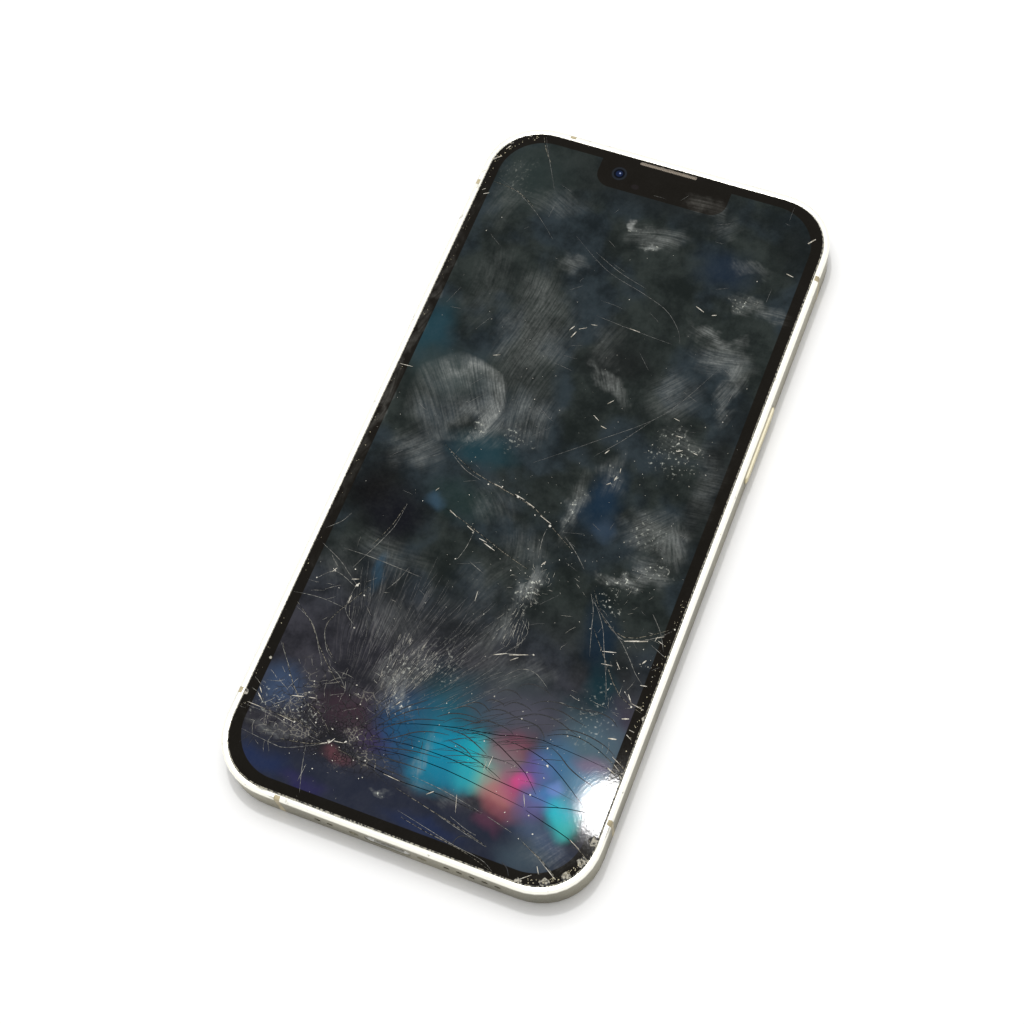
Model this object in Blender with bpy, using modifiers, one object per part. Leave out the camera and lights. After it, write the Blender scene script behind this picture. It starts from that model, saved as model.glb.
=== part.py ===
"""A phone with a shattered screen: metal frame, cracked cover glass, and all that the case holds.

Metres.  The phone lies on its back: +X is its right side, with the power button, +Y is its top,
and +Z points out of the screen.  The origin is the centre of the back face.
"""

import math

import bmesh
import bpy
from mathutils import Matrix, Vector

MM = 0.001

# Case
LENGTH = 146.7 * MM
WIDTH = 71.5 * MM
THICKNESS = 7.65 * MM
CORNER_RADIUS = 11.85 * MM
CORNER_PROFILE = 0.52
EDGE_ROUNDING = 0.5 * MM
RIM_WIDTH = 1.15 * MM
LEDGE_WIDTH = 1.6 * MM
FIT = 0.1 * MM
SEAT_GAP = 0.05 * MM
PASS = 1.0 * MM
ROUND_END = 0.47

# Layers, from the back face up to the front glass
BACK_GLASS_THICKNESS = 0.7 * MM
COIL_THICKNESS = 0.35 * MM
PLATE_THICKNESS = 0.5 * MM
STEEL_SHEET = 0.15 * MM
PANEL_THICKNESS = 0.6 * MM
GLASS_THICKNESS = 0.7 * MM
GLASS_EDGE = 0.22 * MM
GASKET_THICKNESS = 0.1 * MM
GASKET_MARGIN = 0.3 * MM

# Cracks and chips in the front glass
CRACK_WIDTH = 0.16 * MM
CRACK_DEPTH = 0.2 * MM
CRACK_STEPS = 2
CHIP_SPHERE = 2.2 * MM
CRACK_TIP = 0.45
MAP_HALF_X = 34.6
MAP_HALF_Y = 72.2

# Front: ear slot, notch and what looks out of it
EAR_SLOT_LENGTH = 12.0 * MM
EAR_SLOT_HEIGHT = 0.8 * MM
EAR_SLOT_EDGE = 0.5 * MM
EAR_MESH_THICKNESS = 0.35 * MM
NOTCH_WIDTH = 27.0 * MM
NOTCH_DEPTH = 6.3 * MM
NOTCH_CORNER = 3.0 * MM
FRONT_CAMERA_X = -9.0 * MM
FRONT_CAMERA_FROM_TOP = 5.75 * MM
FRONT_CAMERA_BODY = 5.6 * MM
FRONT_CAMERA_BARREL = 1.6 * MM
PROXIMITY_X = -3.6 * MM
PROXIMITY_RADIUS = 0.9 * MM
FACE_SENSOR_X = 9.6 * MM
FACE_SENSOR_LENGTH = 6.4 * MM
EAR_SPEAKER_X = 0.4 * MM
EAR_SPEAKER_LENGTH = 10.4 * MM
TOP_MODULE_WIDTH = 4.6 * MM
TOP_MODULE_FROM_TOP = 5.95 * MM
MODULE_CORNER = 0.5 * MM
EAR_SPEAKER_CORNER = 1.0 * MM

# Rear cameras behind one flush window
WINDOW_WIDTH = 13.0 * MM
WINDOW_LENGTH = 30.0 * MM
WINDOW_THICKNESS = 0.5 * MM
WINDOW_X = 21.5 * MM
WINDOW_FROM_TOP = 20.85 * MM
LENS_PITCH = 11.5 * MM
MAIN_LENS_OFFSET = 8.0 * MM
FLASH_OFFSET = -11.0 * MM
LENS_RING_RADIUS = 4.5 * MM
LENS_RING_WALL = 0.8 * MM
LENS_GLASS_RECESS = 0.15 * MM
FLASH_RADIUS = 1.9 * MM
CAMERA_BODY = 10.4 * MM
CAMERA_HEIGHT = 3.0 * MM
CAMERA_BARREL = 3.2 * MM
BRACKET_MARGIN = 2.6 * MM
CAMERA_CORNER = 0.8 * MM
BRACKET_CORNER = 1.5 * MM

# Side buttons and their switches
BUTTON_HEIGHT = 2.7 * MM
BUTTON_PROUD = 0.4 * MM
BUTTON_EDGE = 0.35 * MM
BUTTON_TRAVEL = 0.3 * MM
BUTTON_FLANGE = 0.6 * MM
BUTTON_LIP = 0.5 * MM
SIDE_Z = 3.85 * MM
POWER_FROM_TOP = 51.95 * MM
POWER_LENGTH = 16.6 * MM
VOLUME_LENGTH = 9.6 * MM
VOLUME_FROM_TOP = 51.25 * MM
VOLUME_PITCH = 13.0 * MM
SWITCH_THICKNESS = 1.4 * MM
SWITCH_LENGTH = 7.0 * MM
SIDE_STRIP = 3.2 * MM

# Mute switch
MUTE_FROM_TOP = 32.35 * MM
MUTE_SLOT_LENGTH = 6.0 * MM
MUTE_TRAVEL = 1.0 * MM
MUTE_HEIGHT = 1.9 * MM
MUTE_PROUD = 0.15 * MM
MUTE_EDGE = 0.2 * MM

# Card tray
TRAY_FROM_TOP = 81.35 * MM
TRAY_CAP_LENGTH = 14.6 * MM
TRAY_CAP_HEIGHT = 1.7 * MM
TRAY_CAP_DEPTH = 1.4 * MM
TRAY_LENGTH = 17.0 * MM
TRAY_WIDTH = 10.6 * MM
TRAY_THICKNESS = 0.9 * MM
TRAY_FLOOR = 0.2 * MM
CARD_LENGTH = 12.3 * MM
CARD_WIDTH = 8.8 * MM
CARD_THICKNESS = 0.6 * MM
CARD_CORNER = 1.0 * MM
CARD_END_WALL = 1.2 * MM
EJECT_RADIUS = 0.4 * MM
EJECT_OFFSET = 6.3 * MM
READER_WALL = 0.4 * MM

# Bottom edge
PORT_WIDTH = 8.0 * MM
PORT_HEIGHT = 2.4 * MM
PORT_WALL = 0.3 * MM
PORT_DEPTH = 9.5 * MM
PORT_CONTACT_WIDTH = 5.6 * MM
PORT_CONTACT_THICKNESS = 0.5 * MM
BOTTOM_SCREW_X = 6.5 * MM
SCREW_HEAD_RADIUS = 0.85 * MM
SCREW_HEAD_HEIGHT = 0.6 * MM
SCREW_SHANK_RADIUS = 0.5 * MM
BOTTOM_SCREW_LENGTH = 4.2 * MM
SCREW_RECESS = 0.3 * MM
DRIVE_SLOT_WIDTH = 0.24 * MM
HOLE_RADIUS = 0.6 * MM
HOLE_PITCH = 2.4 * MM
HOLE_START_X = 11.1 * MM
SPEAKER_HOLES = 5
MICROPHONE_HOLES = 2
MESH_SHEET = 0.25 * MM

# Plastic antenna bands let into the frame
BAND_WIDTH = 1.1 * MM
BAND_DEPTH = 0.85 * MM
BAND_GAP = 0.04 * MM
BAND_X = -20.8 * MM
BAND_FROM_END = 16.35 * MM

# Inside: board column on the left, battery column on the right
COLUMN_SPLIT_X = -3.5 * MM
COLUMN_GAP = 1.0 * MM
ROW_GAP = 1.0 * MM
TOP_ROW = 27.85 * MM
BOTTOM_ROW = 23.35 * MM
BOARD_THICKNESS = 0.7 * MM
BOARD_CORNER = 1.5 * MM
SHIELD_HEIGHT = 1.4 * MM
UPPER_SHIELD_LENGTH = 26.0 * MM
LOWER_SHIELD_LENGTH = 15.0 * MM
SHIELD_MARGIN = 1.2 * MM
CAN_CORNER = 1.0 * MM
CAN_EDGE = 0.2 * MM
COVER_PLATE_WIDTH = 9.0 * MM
COVER_PLATE_LENGTH = 24.0 * MM
COVER_PLATE_FROM_TOP = 74.35 * MM
CONNECTOR_HEIGHT = 0.8 * MM
BATTERY_HEADROOM = 0.25 * MM
BATTERY_CORNER = 1.2 * MM
BATTERY_EDGE = 0.5 * MM
BATTERY_STRIP_WIDTH = 24.0 * MM
BATTERY_STRIP_THICKNESS = 0.12 * MM
COIL_RADIUS = 15.0 * MM
COIL_BORE = 6.0 * MM
MAGNET_INNER = 17.0 * MM
MAGNET_OUTER = 20.5 * MM
COIL_FROM_TOP = 75.35 * MM
MOTOR_LENGTH = 21.0 * MM
MOTOR_WIDTH = 12.0 * MM
MOTOR_CORNER = 1.5 * MM
SPEAKER_WIDTH = 19.0 * MM
SPEAKER_LENGTH = 15.5 * MM
SPEAKER_CORNER = 3.4 * MM
BOTTOM_MODULE_EDGE = 0.3 * MM
BOTTOM_MODULE_X = 7.8 * MM
MICROPHONE_WIDTH = 5.0 * MM
MICROPHONE_LENGTH = 3.0 * MM
MICROPHONE_HEIGHT = 1.6 * MM
FLEX_THICKNESS = 0.15 * MM
FLEX_STRAIGHT = 1.4 * MM
FLEX_SLOPE = 1.5 * MM
FLEX_HEIGHT = 0.4 * MM

# Sizes that follow from those above
HALF_X = WIDTH / 2
HALF_Y = LENGTH / 2
GLASS_X = HALF_X - RIM_WIDTH
GLASS_Y = HALF_Y - RIM_WIDTH
GLASS_CORNER = CORNER_RADIUS - RIM_WIDTH
MAP_UNIT = GLASS_X / MAP_HALF_X
BAY_X = GLASS_X - LEDGE_WIDTH
BAY_Y = GLASS_Y - LEDGE_WIDTH
BAY_CORNER = GLASS_CORNER - LEDGE_WIDTH
BACK_LEDGE = BACK_GLASS_THICKNESS + GASKET_THICKNESS + 2 * SEAT_GAP
PLATE_LOW = BACK_GLASS_THICKNESS + COIL_THICKNESS + 2 * FIT
FLOOR = PLATE_LOW + PLATE_THICKNESS + FIT
GLASS_LOW = THICKNESS - GLASS_THICKNESS
FRONT_LEDGE = GLASS_LOW - GASKET_THICKNESS - 2 * SEAT_GAP
PANEL_LOW = GLASS_LOW - FIT - PANEL_THICKNESS
SHEET_LOW = PANEL_LOW - FIT - STEEL_SHEET
CEILING = SHEET_LOW - FIT
COLUMN_EDGE = BAY_X - SIDE_STRIP
NOTCH_LOW_Y = BAY_Y - NOTCH_DEPTH
EAR_SLOT_Y = GLASS_Y - EAR_SLOT_EDGE - EAR_SLOT_HEIGHT / 2
FRONT_CAMERA_Y = HALF_Y - FRONT_CAMERA_FROM_TOP
TOP_MODULE_Y = HALF_Y - TOP_MODULE_FROM_TOP
WINDOW_Y = HALF_Y - WINDOW_FROM_TOP
MAIN_LENS_Y = WINDOW_Y + MAIN_LENS_OFFSET
WIDE_LENS_Y = MAIN_LENS_Y - LENS_PITCH
FLASH_Y = WINDOW_Y + FLASH_OFFSET
POWER_Y = HALF_Y - POWER_FROM_TOP
VOLUME_Y = HALF_Y - VOLUME_FROM_TOP
MUTE_Y = HALF_Y - MUTE_FROM_TOP
TRAY_Y = HALF_Y - TRAY_FROM_TOP
BAND_Y = HALF_Y - BAND_FROM_END
TOP_ROW_Y = HALF_Y - TOP_ROW
BOTTOM_ROW_Y = BOTTOM_ROW - HALF_Y
COIL_Y = HALF_Y - COIL_FROM_TOP
COVER_PLATE_Y = HALF_Y - COVER_PLATE_FROM_TOP
BOARD_LEFT = -COLUMN_EDGE
BOARD_RIGHT = COLUMN_SPLIT_X - COLUMN_GAP / 2
BOARD_LOW_Y = BOTTOM_ROW_Y + ROW_GAP
BOARD_HIGH_Y = TOP_ROW_Y - ROW_GAP
BOARD_TOP = FLOOR + BOARD_THICKNESS
BATTERY_HIGH_Y = WINDOW_Y - WINDOW_LENGTH / 2 - ROW_GAP
COVER_PLATE_Z = BOARD_TOP + CONNECTOR_HEIGHT + 2 * FIT

# Main cracks, each from the impact outwards.  The damage is drawn in millimetres on a map of half a glass,
# MAP_HALF_X by MAP_HALF_Y.  It keeps its shape on another glass, and its distance to the nearer end.
CRACKS = {
    "right_fan_1": [(-9.5, -54.6), (-3.0, -52.1), (4.0, -50.3), (12.0, -48.9), (19.0, -47.2), (34.0, -48.4)],
    "right_fan_2": [(19.6, -46.2), (22.0, -45.0), (25.0, -44.6), (29.0, -45.5), (34.0, -47.9)],
    "right_fan_3": [(4.8, -51.1), (8.0, -50.0), (11.0, -50.2), (15.0, -52.0), (18.5, -53.8), (21.6, -56.7)],
    "right_fan_4": [(13.0, -49.4), (18.0, -49.7), (22.5, -51.1), (27.0, -53.8), (30.5, -56.2)],
    "right_fan_5": [(-10.0, -57.2), (-3.0, -56.1), (5.0, -55.9), (12.0, -56.5), (20.0, -57.1), (26.2, -57.5)],
    "right_fan_6": [(-11.0, -59.2), (-3.0, -58.1), (5.0, -58.0), (13.0, -58.8), (20.3, -59.6)],
    "right_fan_7": [(21.0, -59.3), (24.0, -58.2), (27.5, -57.2), (32.0, -56.6)],
    "right_fan_8": [(21.0, -59.9), (25.0, -60.9), (29.5, -62.0), (33.8, -64.2)],
    "right_fan_9": [(-4.0, -54.5), (3.0, -54.0), (8.5, -54.4), (12.0, -55.2), (14.8, -56.3)],
    "lower_1": [(-14.8, -61.1), (-8.0, -61.9), (-1.0, -62.7), (6.0, -62.5), (14.0, -63.2)],
    "lower_2": [(-2.0, -64.0), (6.0, -65.7), (12.0, -66.9), (17.0, -68.2)],
    "lower_3": [(1.0, -68.5), (6.0, -69.4), (13.0, -70.2), (19.0, -71.8)],
    "lower_4": [(22.5, -65.4), (26.5, -67.0), (30.8, -69.6)],
    "left_1": [(-17.2, -61.0), (-20.0, -62.1), (-25.0, -62.9)],
    "left_2": [(-19.0, -59.8), (-23.0, -58.9), (-27.0, -58.9), (-33.4, -58.6)],
    "left_3": [(-16.6, -59.2), (-20.0, -56.2), (-25.0, -54.4), (-28.0, -51.2), (-31.8, -46.2)],
    "left_4": [(-17.4, -50.4), (-20.0, -49.3), (-25.4, -44.4), (-28.0, -41.3), (-32.6, -38.0)],
    "left_5": [(-22.0, -45.7), (-24.4, -43.6), (-25.6, -41.0), (-24.9, -37.8), (-21.0, -30.6)],
    "middle_1": [(-19.0, 0.4), (-12.0, -3.0), (-4.0, -4.8), (2.0, -6.4), (6.5, -9.0), (12.6, -12.6)],
    "middle_2": [(-14.0, -11.7), (-8.0, -13.6), (-1.0, -16.2), (5.0, -18.0)],
    "middle_3": [(-21.2, -13.2), (-22.0, -18.0), (-24.0, -23.0)],
    "right_1": [(17.5, -17.5), (21.5, -22.6), (26.0, -24.4), (30.0, -22.6), (34.0, -19.6)],
    "right_2": [(20.0, -24.4), (25.0, -30.5), (29.0, -35.0), (34.2, -36.8)],
    "top_left_1": [(-26.6, 71.2), (-24.8, 68.0), (-22.8, 65.6)],
    "top_left_2": [(-32.2, 58.0), (-27.0, 57.4), (-22.6, 55.0)],
}

# Flakes broken out of the front glass: place on that map, and depth
CHIPS = [
    (33.9, -61.0, 0.30),
    (33.4, -65.0, 0.34),
    (31.6, -68.3, 0.30),
    (28.6, -70.6, 0.32),
    (24.2, -71.9, 0.24),
    (34.5, -48.5, 0.22),
    (34.5, -37.5, 0.18),
    (-32.6, 68.2, 0.26),
    (-29.6, 71.0, 0.28),
    (-34.3, 63.4, 0.20),
    (-34.4, -57.0, 0.24),
    (-32.7, -49.6, 0.12),
    (-16.3, -60.3, 0.12),
]


def clear_objects():
    for item in list(bpy.data.objects):
        bpy.data.objects.remove(item, do_unlink=True)


def new_collection(name):
    group = bpy.data.collections.new(name)
    bpy.context.scene.collection.children.link(group)
    return group


def new_material(name, colour, roughness, metallic=0.0):
    surface = bpy.data.materials.new(name)
    surface.use_nodes = True
    shader = surface.node_tree.nodes["Principled BSDF"]
    shader.inputs["Base Color"].default_value = (*colour, 1.0)
    shader.inputs["Roughness"].default_value = roughness
    shader.inputs["Metallic"].default_value = metallic
    return surface


clear_objects()
PARTS = new_collection("shattered_screen_phone")
CUTTERS = new_collection("cutters")

ALUMINIUM = new_material("anodised_aluminium", (0.82, 0.80, 0.72), 0.35, 1.0)
STEEL = new_material("stainless_steel", (0.55, 0.55, 0.56), 0.3, 1.0)
COVER_GLASS = new_material("cover_glass", (0.03, 0.03, 0.035), 0.05)
BACK_GLASS = new_material("back_glass", (0.86, 0.85, 0.80), 0.25)
LENS_GLASS = new_material("lens_glass", (0.01, 0.01, 0.02), 0.05)
BLACK_PLASTIC = new_material("black_plastic", (0.03, 0.03, 0.03), 0.5)
BAND_PLASTIC = new_material("band_plastic", (0.62, 0.58, 0.48), 0.5)
ADHESIVE = new_material("adhesive_foam", (0.05, 0.05, 0.05), 0.8)
DISPLAY = new_material("display_panel", (0.01, 0.02, 0.03), 0.2)
BATTERY_FOIL = new_material("battery_foil", (0.08, 0.08, 0.09), 0.4)
BOARD = new_material("circuit_board", (0.02, 0.07, 0.05), 0.5)
COPPER = new_material("copper", (0.72, 0.38, 0.22), 0.3, 1.0)
FLEX = new_material("flex_circuit", (0.10, 0.07, 0.03), 0.5)
CARD = new_material("card_plastic", (0.8, 0.8, 0.8), 0.5)


def place(name, mesh, location, surface):
    """Link a mesh as a part, or as a hidden cutter when it has no material."""
    item = bpy.data.objects.new(name, mesh)
    item.location = location
    mesh.shade_smooth()
    mesh.set_sharp_from_angle(angle=math.radians(30))
    if surface is None:
        CUTTERS.objects.link(item)
        item.hide_render = True
        item.display_type = "WIRE"
    else:
        PARTS.objects.link(item)
        mesh.materials.append(surface)
    return item


def turn_to(axis):
    """Rotation that lays a shape built along Z along the named axis."""
    if axis == "X":
        return Matrix.Rotation(math.radians(90), 4, "Y")
    if axis == "Y":
        return Matrix.Rotation(math.radians(-90), 4, "X")
    return Matrix.Identity(4)


def slab(name, low, high, surface=None, corner=0.0, steps=4, edge=0.0, edge_steps=1, axis="Z", profile=0.5):
    """A box between two corners, with its outline rounded about an axis and its rims softened."""
    low = Vector(low)
    high = Vector(high)
    size = high - low
    lying = turn_to(axis)
    local = lying.inverted().to_3x3() @ size
    local = Vector([abs(value) for value in local])
    shape = bmesh.new()
    bmesh.ops.create_cube(shape, size=1.0)
    bmesh.ops.scale(shape, vec=local, verts=shape.verts)
    if corner > 0:
        upright = [line for line in shape.edges if abs(line.verts[0].co.z - line.verts[1].co.z) > local.z / 2]
        radius = min(corner, ROUND_END * local.x, ROUND_END * local.y)
        bmesh.ops.bevel(
            shape, geom=upright, offset=radius, segments=steps, profile=profile, affect="EDGES", material=-1
        )
    if edge > 0:
        rims = [
            line
            for line in shape.edges
            if abs(line.verts[0].co.z - line.verts[1].co.z) < local.z / 2
            and any(abs(face.normal.z) > 0.9 for face in line.link_faces)
            and any(abs(face.normal.z) < 0.1 for face in line.link_faces)
        ]
        bmesh.ops.bevel(
            shape, geom=rims, offset=edge, segments=edge_steps, profile=0.5, affect="EDGES", material=-1
        )
    bmesh.ops.transform(shape, matrix=lying, verts=shape.verts)
    mesh = bpy.data.meshes.new(name)
    shape.to_mesh(mesh)
    shape.free()
    return place(name, mesh, (low + high) / 2, surface)


def rod(name, centre, radius, length, axis="Z", sides=16, surface=None):
    """A round bar by its centre."""
    shape = bmesh.new()
    bmesh.ops.create_cone(
        shape, cap_ends=True, segments=sides, radius1=radius, radius2=radius, depth=length
    )
    bmesh.ops.transform(shape, matrix=turn_to(axis), verts=shape.verts)
    mesh = bpy.data.meshes.new(name)
    shape.to_mesh(mesh)
    shape.free()
    return place(name, mesh, centre, surface)


def rod_row(name, centres, radius, length, axis, sides):
    """Several equal round cutters kept as one object."""
    shape = bmesh.new()
    for centre in centres:
        bar = bmesh.ops.create_cone(
            shape, cap_ends=True, segments=sides, radius1=radius, radius2=radius, depth=length
        )
        bmesh.ops.transform(shape, matrix=turn_to(axis), verts=bar["verts"])
        bmesh.ops.translate(shape, vec=centre, verts=bar["verts"])
    mesh = bpy.data.meshes.new(name)
    shape.to_mesh(mesh)
    shape.free()
    return place(name, mesh, (0, 0, 0), None)


def turned(name, profile, location, surface, steps=32):
    """A turned part: its half section, listed down its outer side, spun about its own Z axis."""
    shape = bmesh.new()
    corners = [shape.verts.new((radius, 0, height)) for radius, height in profile]
    closed = profile[0][0] > 0
    for first, second in zip(corners, corners[1:]):
        shape.edges.new((first, second))
    if closed:
        shape.edges.new((corners[-1], corners[0]))
    mesh = bpy.data.meshes.new(name)
    shape.to_mesh(mesh)
    shape.free()
    item = place(name, mesh, location, surface)
    spin = item.modifiers.new("turning", "SCREW")
    spin.steps = steps
    spin.render_steps = steps
    spin.use_merge_vertices = True
    spin.merge_threshold = 0.002 * MM
    spin.use_smooth_shade = True
    return item


def cut(target, *tools):
    for tool in tools:
        change = target.modifiers.new("cut_" + tool.name, "BOOLEAN")
        change.operation = "DIFFERENCE"
        change.solver = "EXACT"
        change.object = tool


def join(target, extra):
    """Unite a second shape, which becomes a hidden cutter, with the first."""
    PARTS.objects.unlink(extra)
    CUTTERS.objects.link(extra)
    extra.hide_render = True
    extra.display_type = "WIRE"
    change = target.modifiers.new("join_" + extra.name, "BOOLEAN")
    change.operation = "UNION"
    change.solver = "EXACT"
    change.object = extra


def outline_slab(name, half_x, half_y, low, high, corner, surface=None, steps=10, edge=0.0, edge_steps=1):
    """A slab with the case's own rounded outline."""
    return slab(
        name,
        (-half_x, -half_y, low),
        (half_x, half_y, high),
        surface,
        corner=corner,
        steps=steps,
        edge=edge,
        edge_steps=edge_steps,
        profile=CORNER_PROFILE,
    )


def band_places():
    """Name, place on the outline and outward direction of each antenna band."""
    return [
        ("antenna_band_top", (BAND_X, HALF_Y), (0, 1)),
        ("antenna_band_bottom", (BAND_X, -HALF_Y), (0, -1)),
        ("antenna_band_right_upper", (HALF_X, BAND_Y), (1, 0)),
        ("antenna_band_right_lower", (HALF_X, -BAND_Y), (1, 0)),
        ("antenna_band_left_upper", (-HALF_X, BAND_Y), (-1, 0)),
        ("antenna_band_left_lower", (-HALF_X, -BAND_Y), (-1, 0)),
    ]


def band_box(name, spot, outward, gap):
    """The box that a band's groove is cut with, or with a gap, the band's own box."""
    across = BAND_WIDTH / 2 - gap
    depth = BAND_DEPTH - gap
    spot_x, spot_y = spot
    out_x, out_y = outward
    reach_x = [spot_x - across, spot_x + across]
    reach_y = [spot_y - across, spot_y + across]
    if out_x:
        reach_x = sorted([spot_x - out_x * depth, spot_x + out_x * PASS])
    else:
        reach_y = sorted([spot_y - out_y * depth, spot_y + out_y * PASS])
    return slab(name, (reach_x[0], reach_y[0], -PASS), (reach_x[1], reach_y[1], THICKNESS + PASS))


def make_bands():
    for name, spot, outward in band_places():
        band = outline_slab(
            name, HALF_X, HALF_Y, 0, THICKNESS, CORNER_RADIUS, BAND_PLASTIC, edge=EDGE_ROUNDING, edge_steps=2
        )
        keep = band.modifiers.new("band_length", "BOOLEAN")
        keep.operation = "INTERSECT"
        keep.solver = "EXACT"
        keep.object = band_box(name + "_box", spot, outward, BAND_GAP)


def side_slot(name, side, centre_y, length, height, inner_x, corner):
    """A cutter with round ends through one side wall."""
    ends = sorted([side * inner_x, side * (HALF_X + PASS)])
    return slab(
        name,
        (ends[0], centre_y - length / 2, SIDE_Z - height / 2),
        (ends[1], centre_y + length / 2, SIDE_Z + height / 2),
        corner=corner,
        steps=6,
        axis="X",
    )


def button_places():
    return [
        ("power", 1, POWER_Y, POWER_LENGTH),
        ("volume_up", -1, VOLUME_Y + VOLUME_PITCH / 2, VOLUME_LENGTH),
        ("volume_down", -1, VOLUME_Y - VOLUME_PITCH / 2, VOLUME_LENGTH),
    ]


def hole_centres(start_x, pitch, count):
    return [(start_x + index * pitch, -HALF_Y, SIDE_Z) for index in range(count)]


def make_frame():
    """Side wall with a pocket for each glass, an open bay, and every slot and hole."""
    body = outline_slab(
        "frame", HALF_X, HALF_Y, 0, THICKNESS, CORNER_RADIUS, ALUMINIUM, edge=EDGE_ROUNDING, edge_steps=2
    )
    pocket_x = GLASS_X + FIT
    pocket_y = GLASS_Y + FIT
    pocket_corner = GLASS_CORNER + FIT
    cut(
        body,
        outline_slab("bay", BAY_X, BAY_Y, -PASS, THICKNESS + PASS, BAY_CORNER),
        outline_slab("front_pocket", pocket_x, pocket_y, FRONT_LEDGE, THICKNESS + PASS, pocket_corner),
        outline_slab("back_pocket", pocket_x, pocket_y, -PASS, BACK_LEDGE, pocket_corner),
    )
    inner = BAY_X - PASS
    for name, side, centre_y, length in button_places():
        height = BUTTON_HEIGHT + 2 * FIT
        cut(body, side_slot(name + "_slot", side, centre_y, length + 2 * FIT, height, inner, height / 2))
    height = mute_slot_height()
    cut(body, side_slot("mute_slot", -1, MUTE_Y, MUTE_SLOT_LENGTH, height, inner, MUTE_HEIGHT / 2))
    cut(
        body,
        side_slot(
            "tray_cap_slot",
            -1,
            TRAY_Y,
            TRAY_CAP_LENGTH + 2 * FIT,
            TRAY_CAP_HEIGHT + 2 * FIT,
            HALF_X - TRAY_CAP_DEPTH - FIT,
            TRAY_CAP_HEIGHT / 2 + FIT,
        ),
        slab(
            "tray_slot",
            (-HALF_X, TRAY_Y - TRAY_WIDTH / 2 - FIT, SIDE_Z - TRAY_THICKNESS / 2 - FIT),
            (-BAY_X + PASS, TRAY_Y + TRAY_WIDTH / 2 + FIT, SIDE_Z + TRAY_THICKNESS / 2 + FIT),
        ),
        rod(
            "eject_bore",
            (-BAY_X - LEDGE_WIDTH / 2, TRAY_Y + EJECT_OFFSET, SIDE_Z),
            EJECT_RADIUS,
            2 * LEDGE_WIDTH,
            "X",
            12,
        ),
    )
    cut(
        body,
        slab(
            "port_slot",
            (-PORT_WIDTH / 2 - PORT_WALL - FIT, -HALF_Y - PASS, SIDE_Z - PORT_HEIGHT / 2 - PORT_WALL - FIT),
            (PORT_WIDTH / 2 + PORT_WALL + FIT, -BAY_Y + PASS, SIDE_Z + PORT_HEIGHT / 2 + PORT_WALL + FIT),
            corner=PORT_HEIGHT / 2 + PORT_WALL + FIT,
            steps=6,
            axis="Y",
        ),
    )
    speaker_row = hole_centres(HOLE_START_X, HOLE_PITCH, SPEAKER_HOLES)
    microphone_row = hole_centres(-HOLE_START_X, -HOLE_PITCH, MICROPHONE_HOLES)
    wall = 2 * (HALF_Y - BAY_Y) + PASS
    screw_row = [(side * BOTTOM_SCREW_X, -HALF_Y, SIDE_Z) for side in (-1, 1)]
    head_depth = 2 * (SCREW_HEAD_HEIGHT + SCREW_RECESS + FIT)
    cut(
        body,
        rod_row("grille_bores", speaker_row + microphone_row, HOLE_RADIUS, wall, "Y", 12),
        rod_row("screw_bores", screw_row, SCREW_SHANK_RADIUS + FIT, wall, "Y", 12),
        rod_row("screw_head_bores", screw_row, SCREW_HEAD_RADIUS + FIT, head_depth, "Y", 16),
    )
    for name, spot, outward in band_places():
        cut(body, band_box(name + "_groove", spot, outward, 0))


def mute_slot_height():
    return MUTE_HEIGHT + MUTE_TRAVEL + 2 * FIT


def on_glass(x, y):
    """The place on the glass of a point of the damage map."""
    from_end = (MAP_HALF_Y - abs(y)) * MAP_UNIT
    return x * MAP_UNIT, math.copysign(GLASS_Y - from_end, y)


def smooth_path(points):
    """Points on a smooth curve through the given ones."""
    padded = [points[0]] + list(points) + [points[-1]]
    path = []
    for index in range(1, len(padded) - 2):
        before, start, end, after = [Vector(point) for point in padded[index - 1 : index + 3]]
        for step in range(CRACK_STEPS):
            t = step / CRACK_STEPS
            path.append(
                0.5
                * (
                    2 * start
                    + (end - before) * t
                    + (2 * before - 5 * start + 4 * end - after) * t**2
                    + (3 * start - before - 3 * end + after) * t**3
                )
            )
    path.append(Vector(padded[-2]))
    return path


def groove(name, points):
    """A V-shaped cutter that follows a crack along the top of the front glass."""
    path = smooth_path(points)
    curve = bpy.data.curves.new(name, "CURVE")
    curve.dimensions = "3D"
    curve.twist_mode = "Z_UP"
    curve.bevel_depth = CRACK_WIDTH / 2
    curve.bevel_resolution = 0
    curve.use_fill_caps = True
    line = curve.splines.new("POLY")
    line.points.add(len(path) - 1)
    last = len(path) - 1
    for index, spot in enumerate(path):
        line.points[index].co = (*on_glass(spot.x, spot.y), 0, 1)
        line.points[index].radius = CRACK_TIP + (1 - CRACK_TIP) * math.sin(math.pi * index / last)
    guide = bpy.data.objects.new(name + "_guide", curve)
    CUTTERS.objects.link(guide)
    bpy.context.view_layer.update()
    seen = guide.evaluated_get(bpy.context.evaluated_depsgraph_get())
    mesh = bpy.data.meshes.new_from_object(seen)
    mesh.name = name
    bpy.data.objects.remove(guide, do_unlink=True)
    shape = bmesh.new()
    shape.from_mesh(mesh)
    bmesh.ops.remove_doubles(shape, verts=shape.verts, dist=0.001 * MM)
    bmesh.ops.scale(shape, vec=(1, 1, 2 * CRACK_DEPTH / CRACK_WIDTH), verts=shape.verts)
    shape.to_mesh(mesh)
    shape.free()
    return place(name, mesh, (0, 0, THICKNESS), None)


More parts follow.
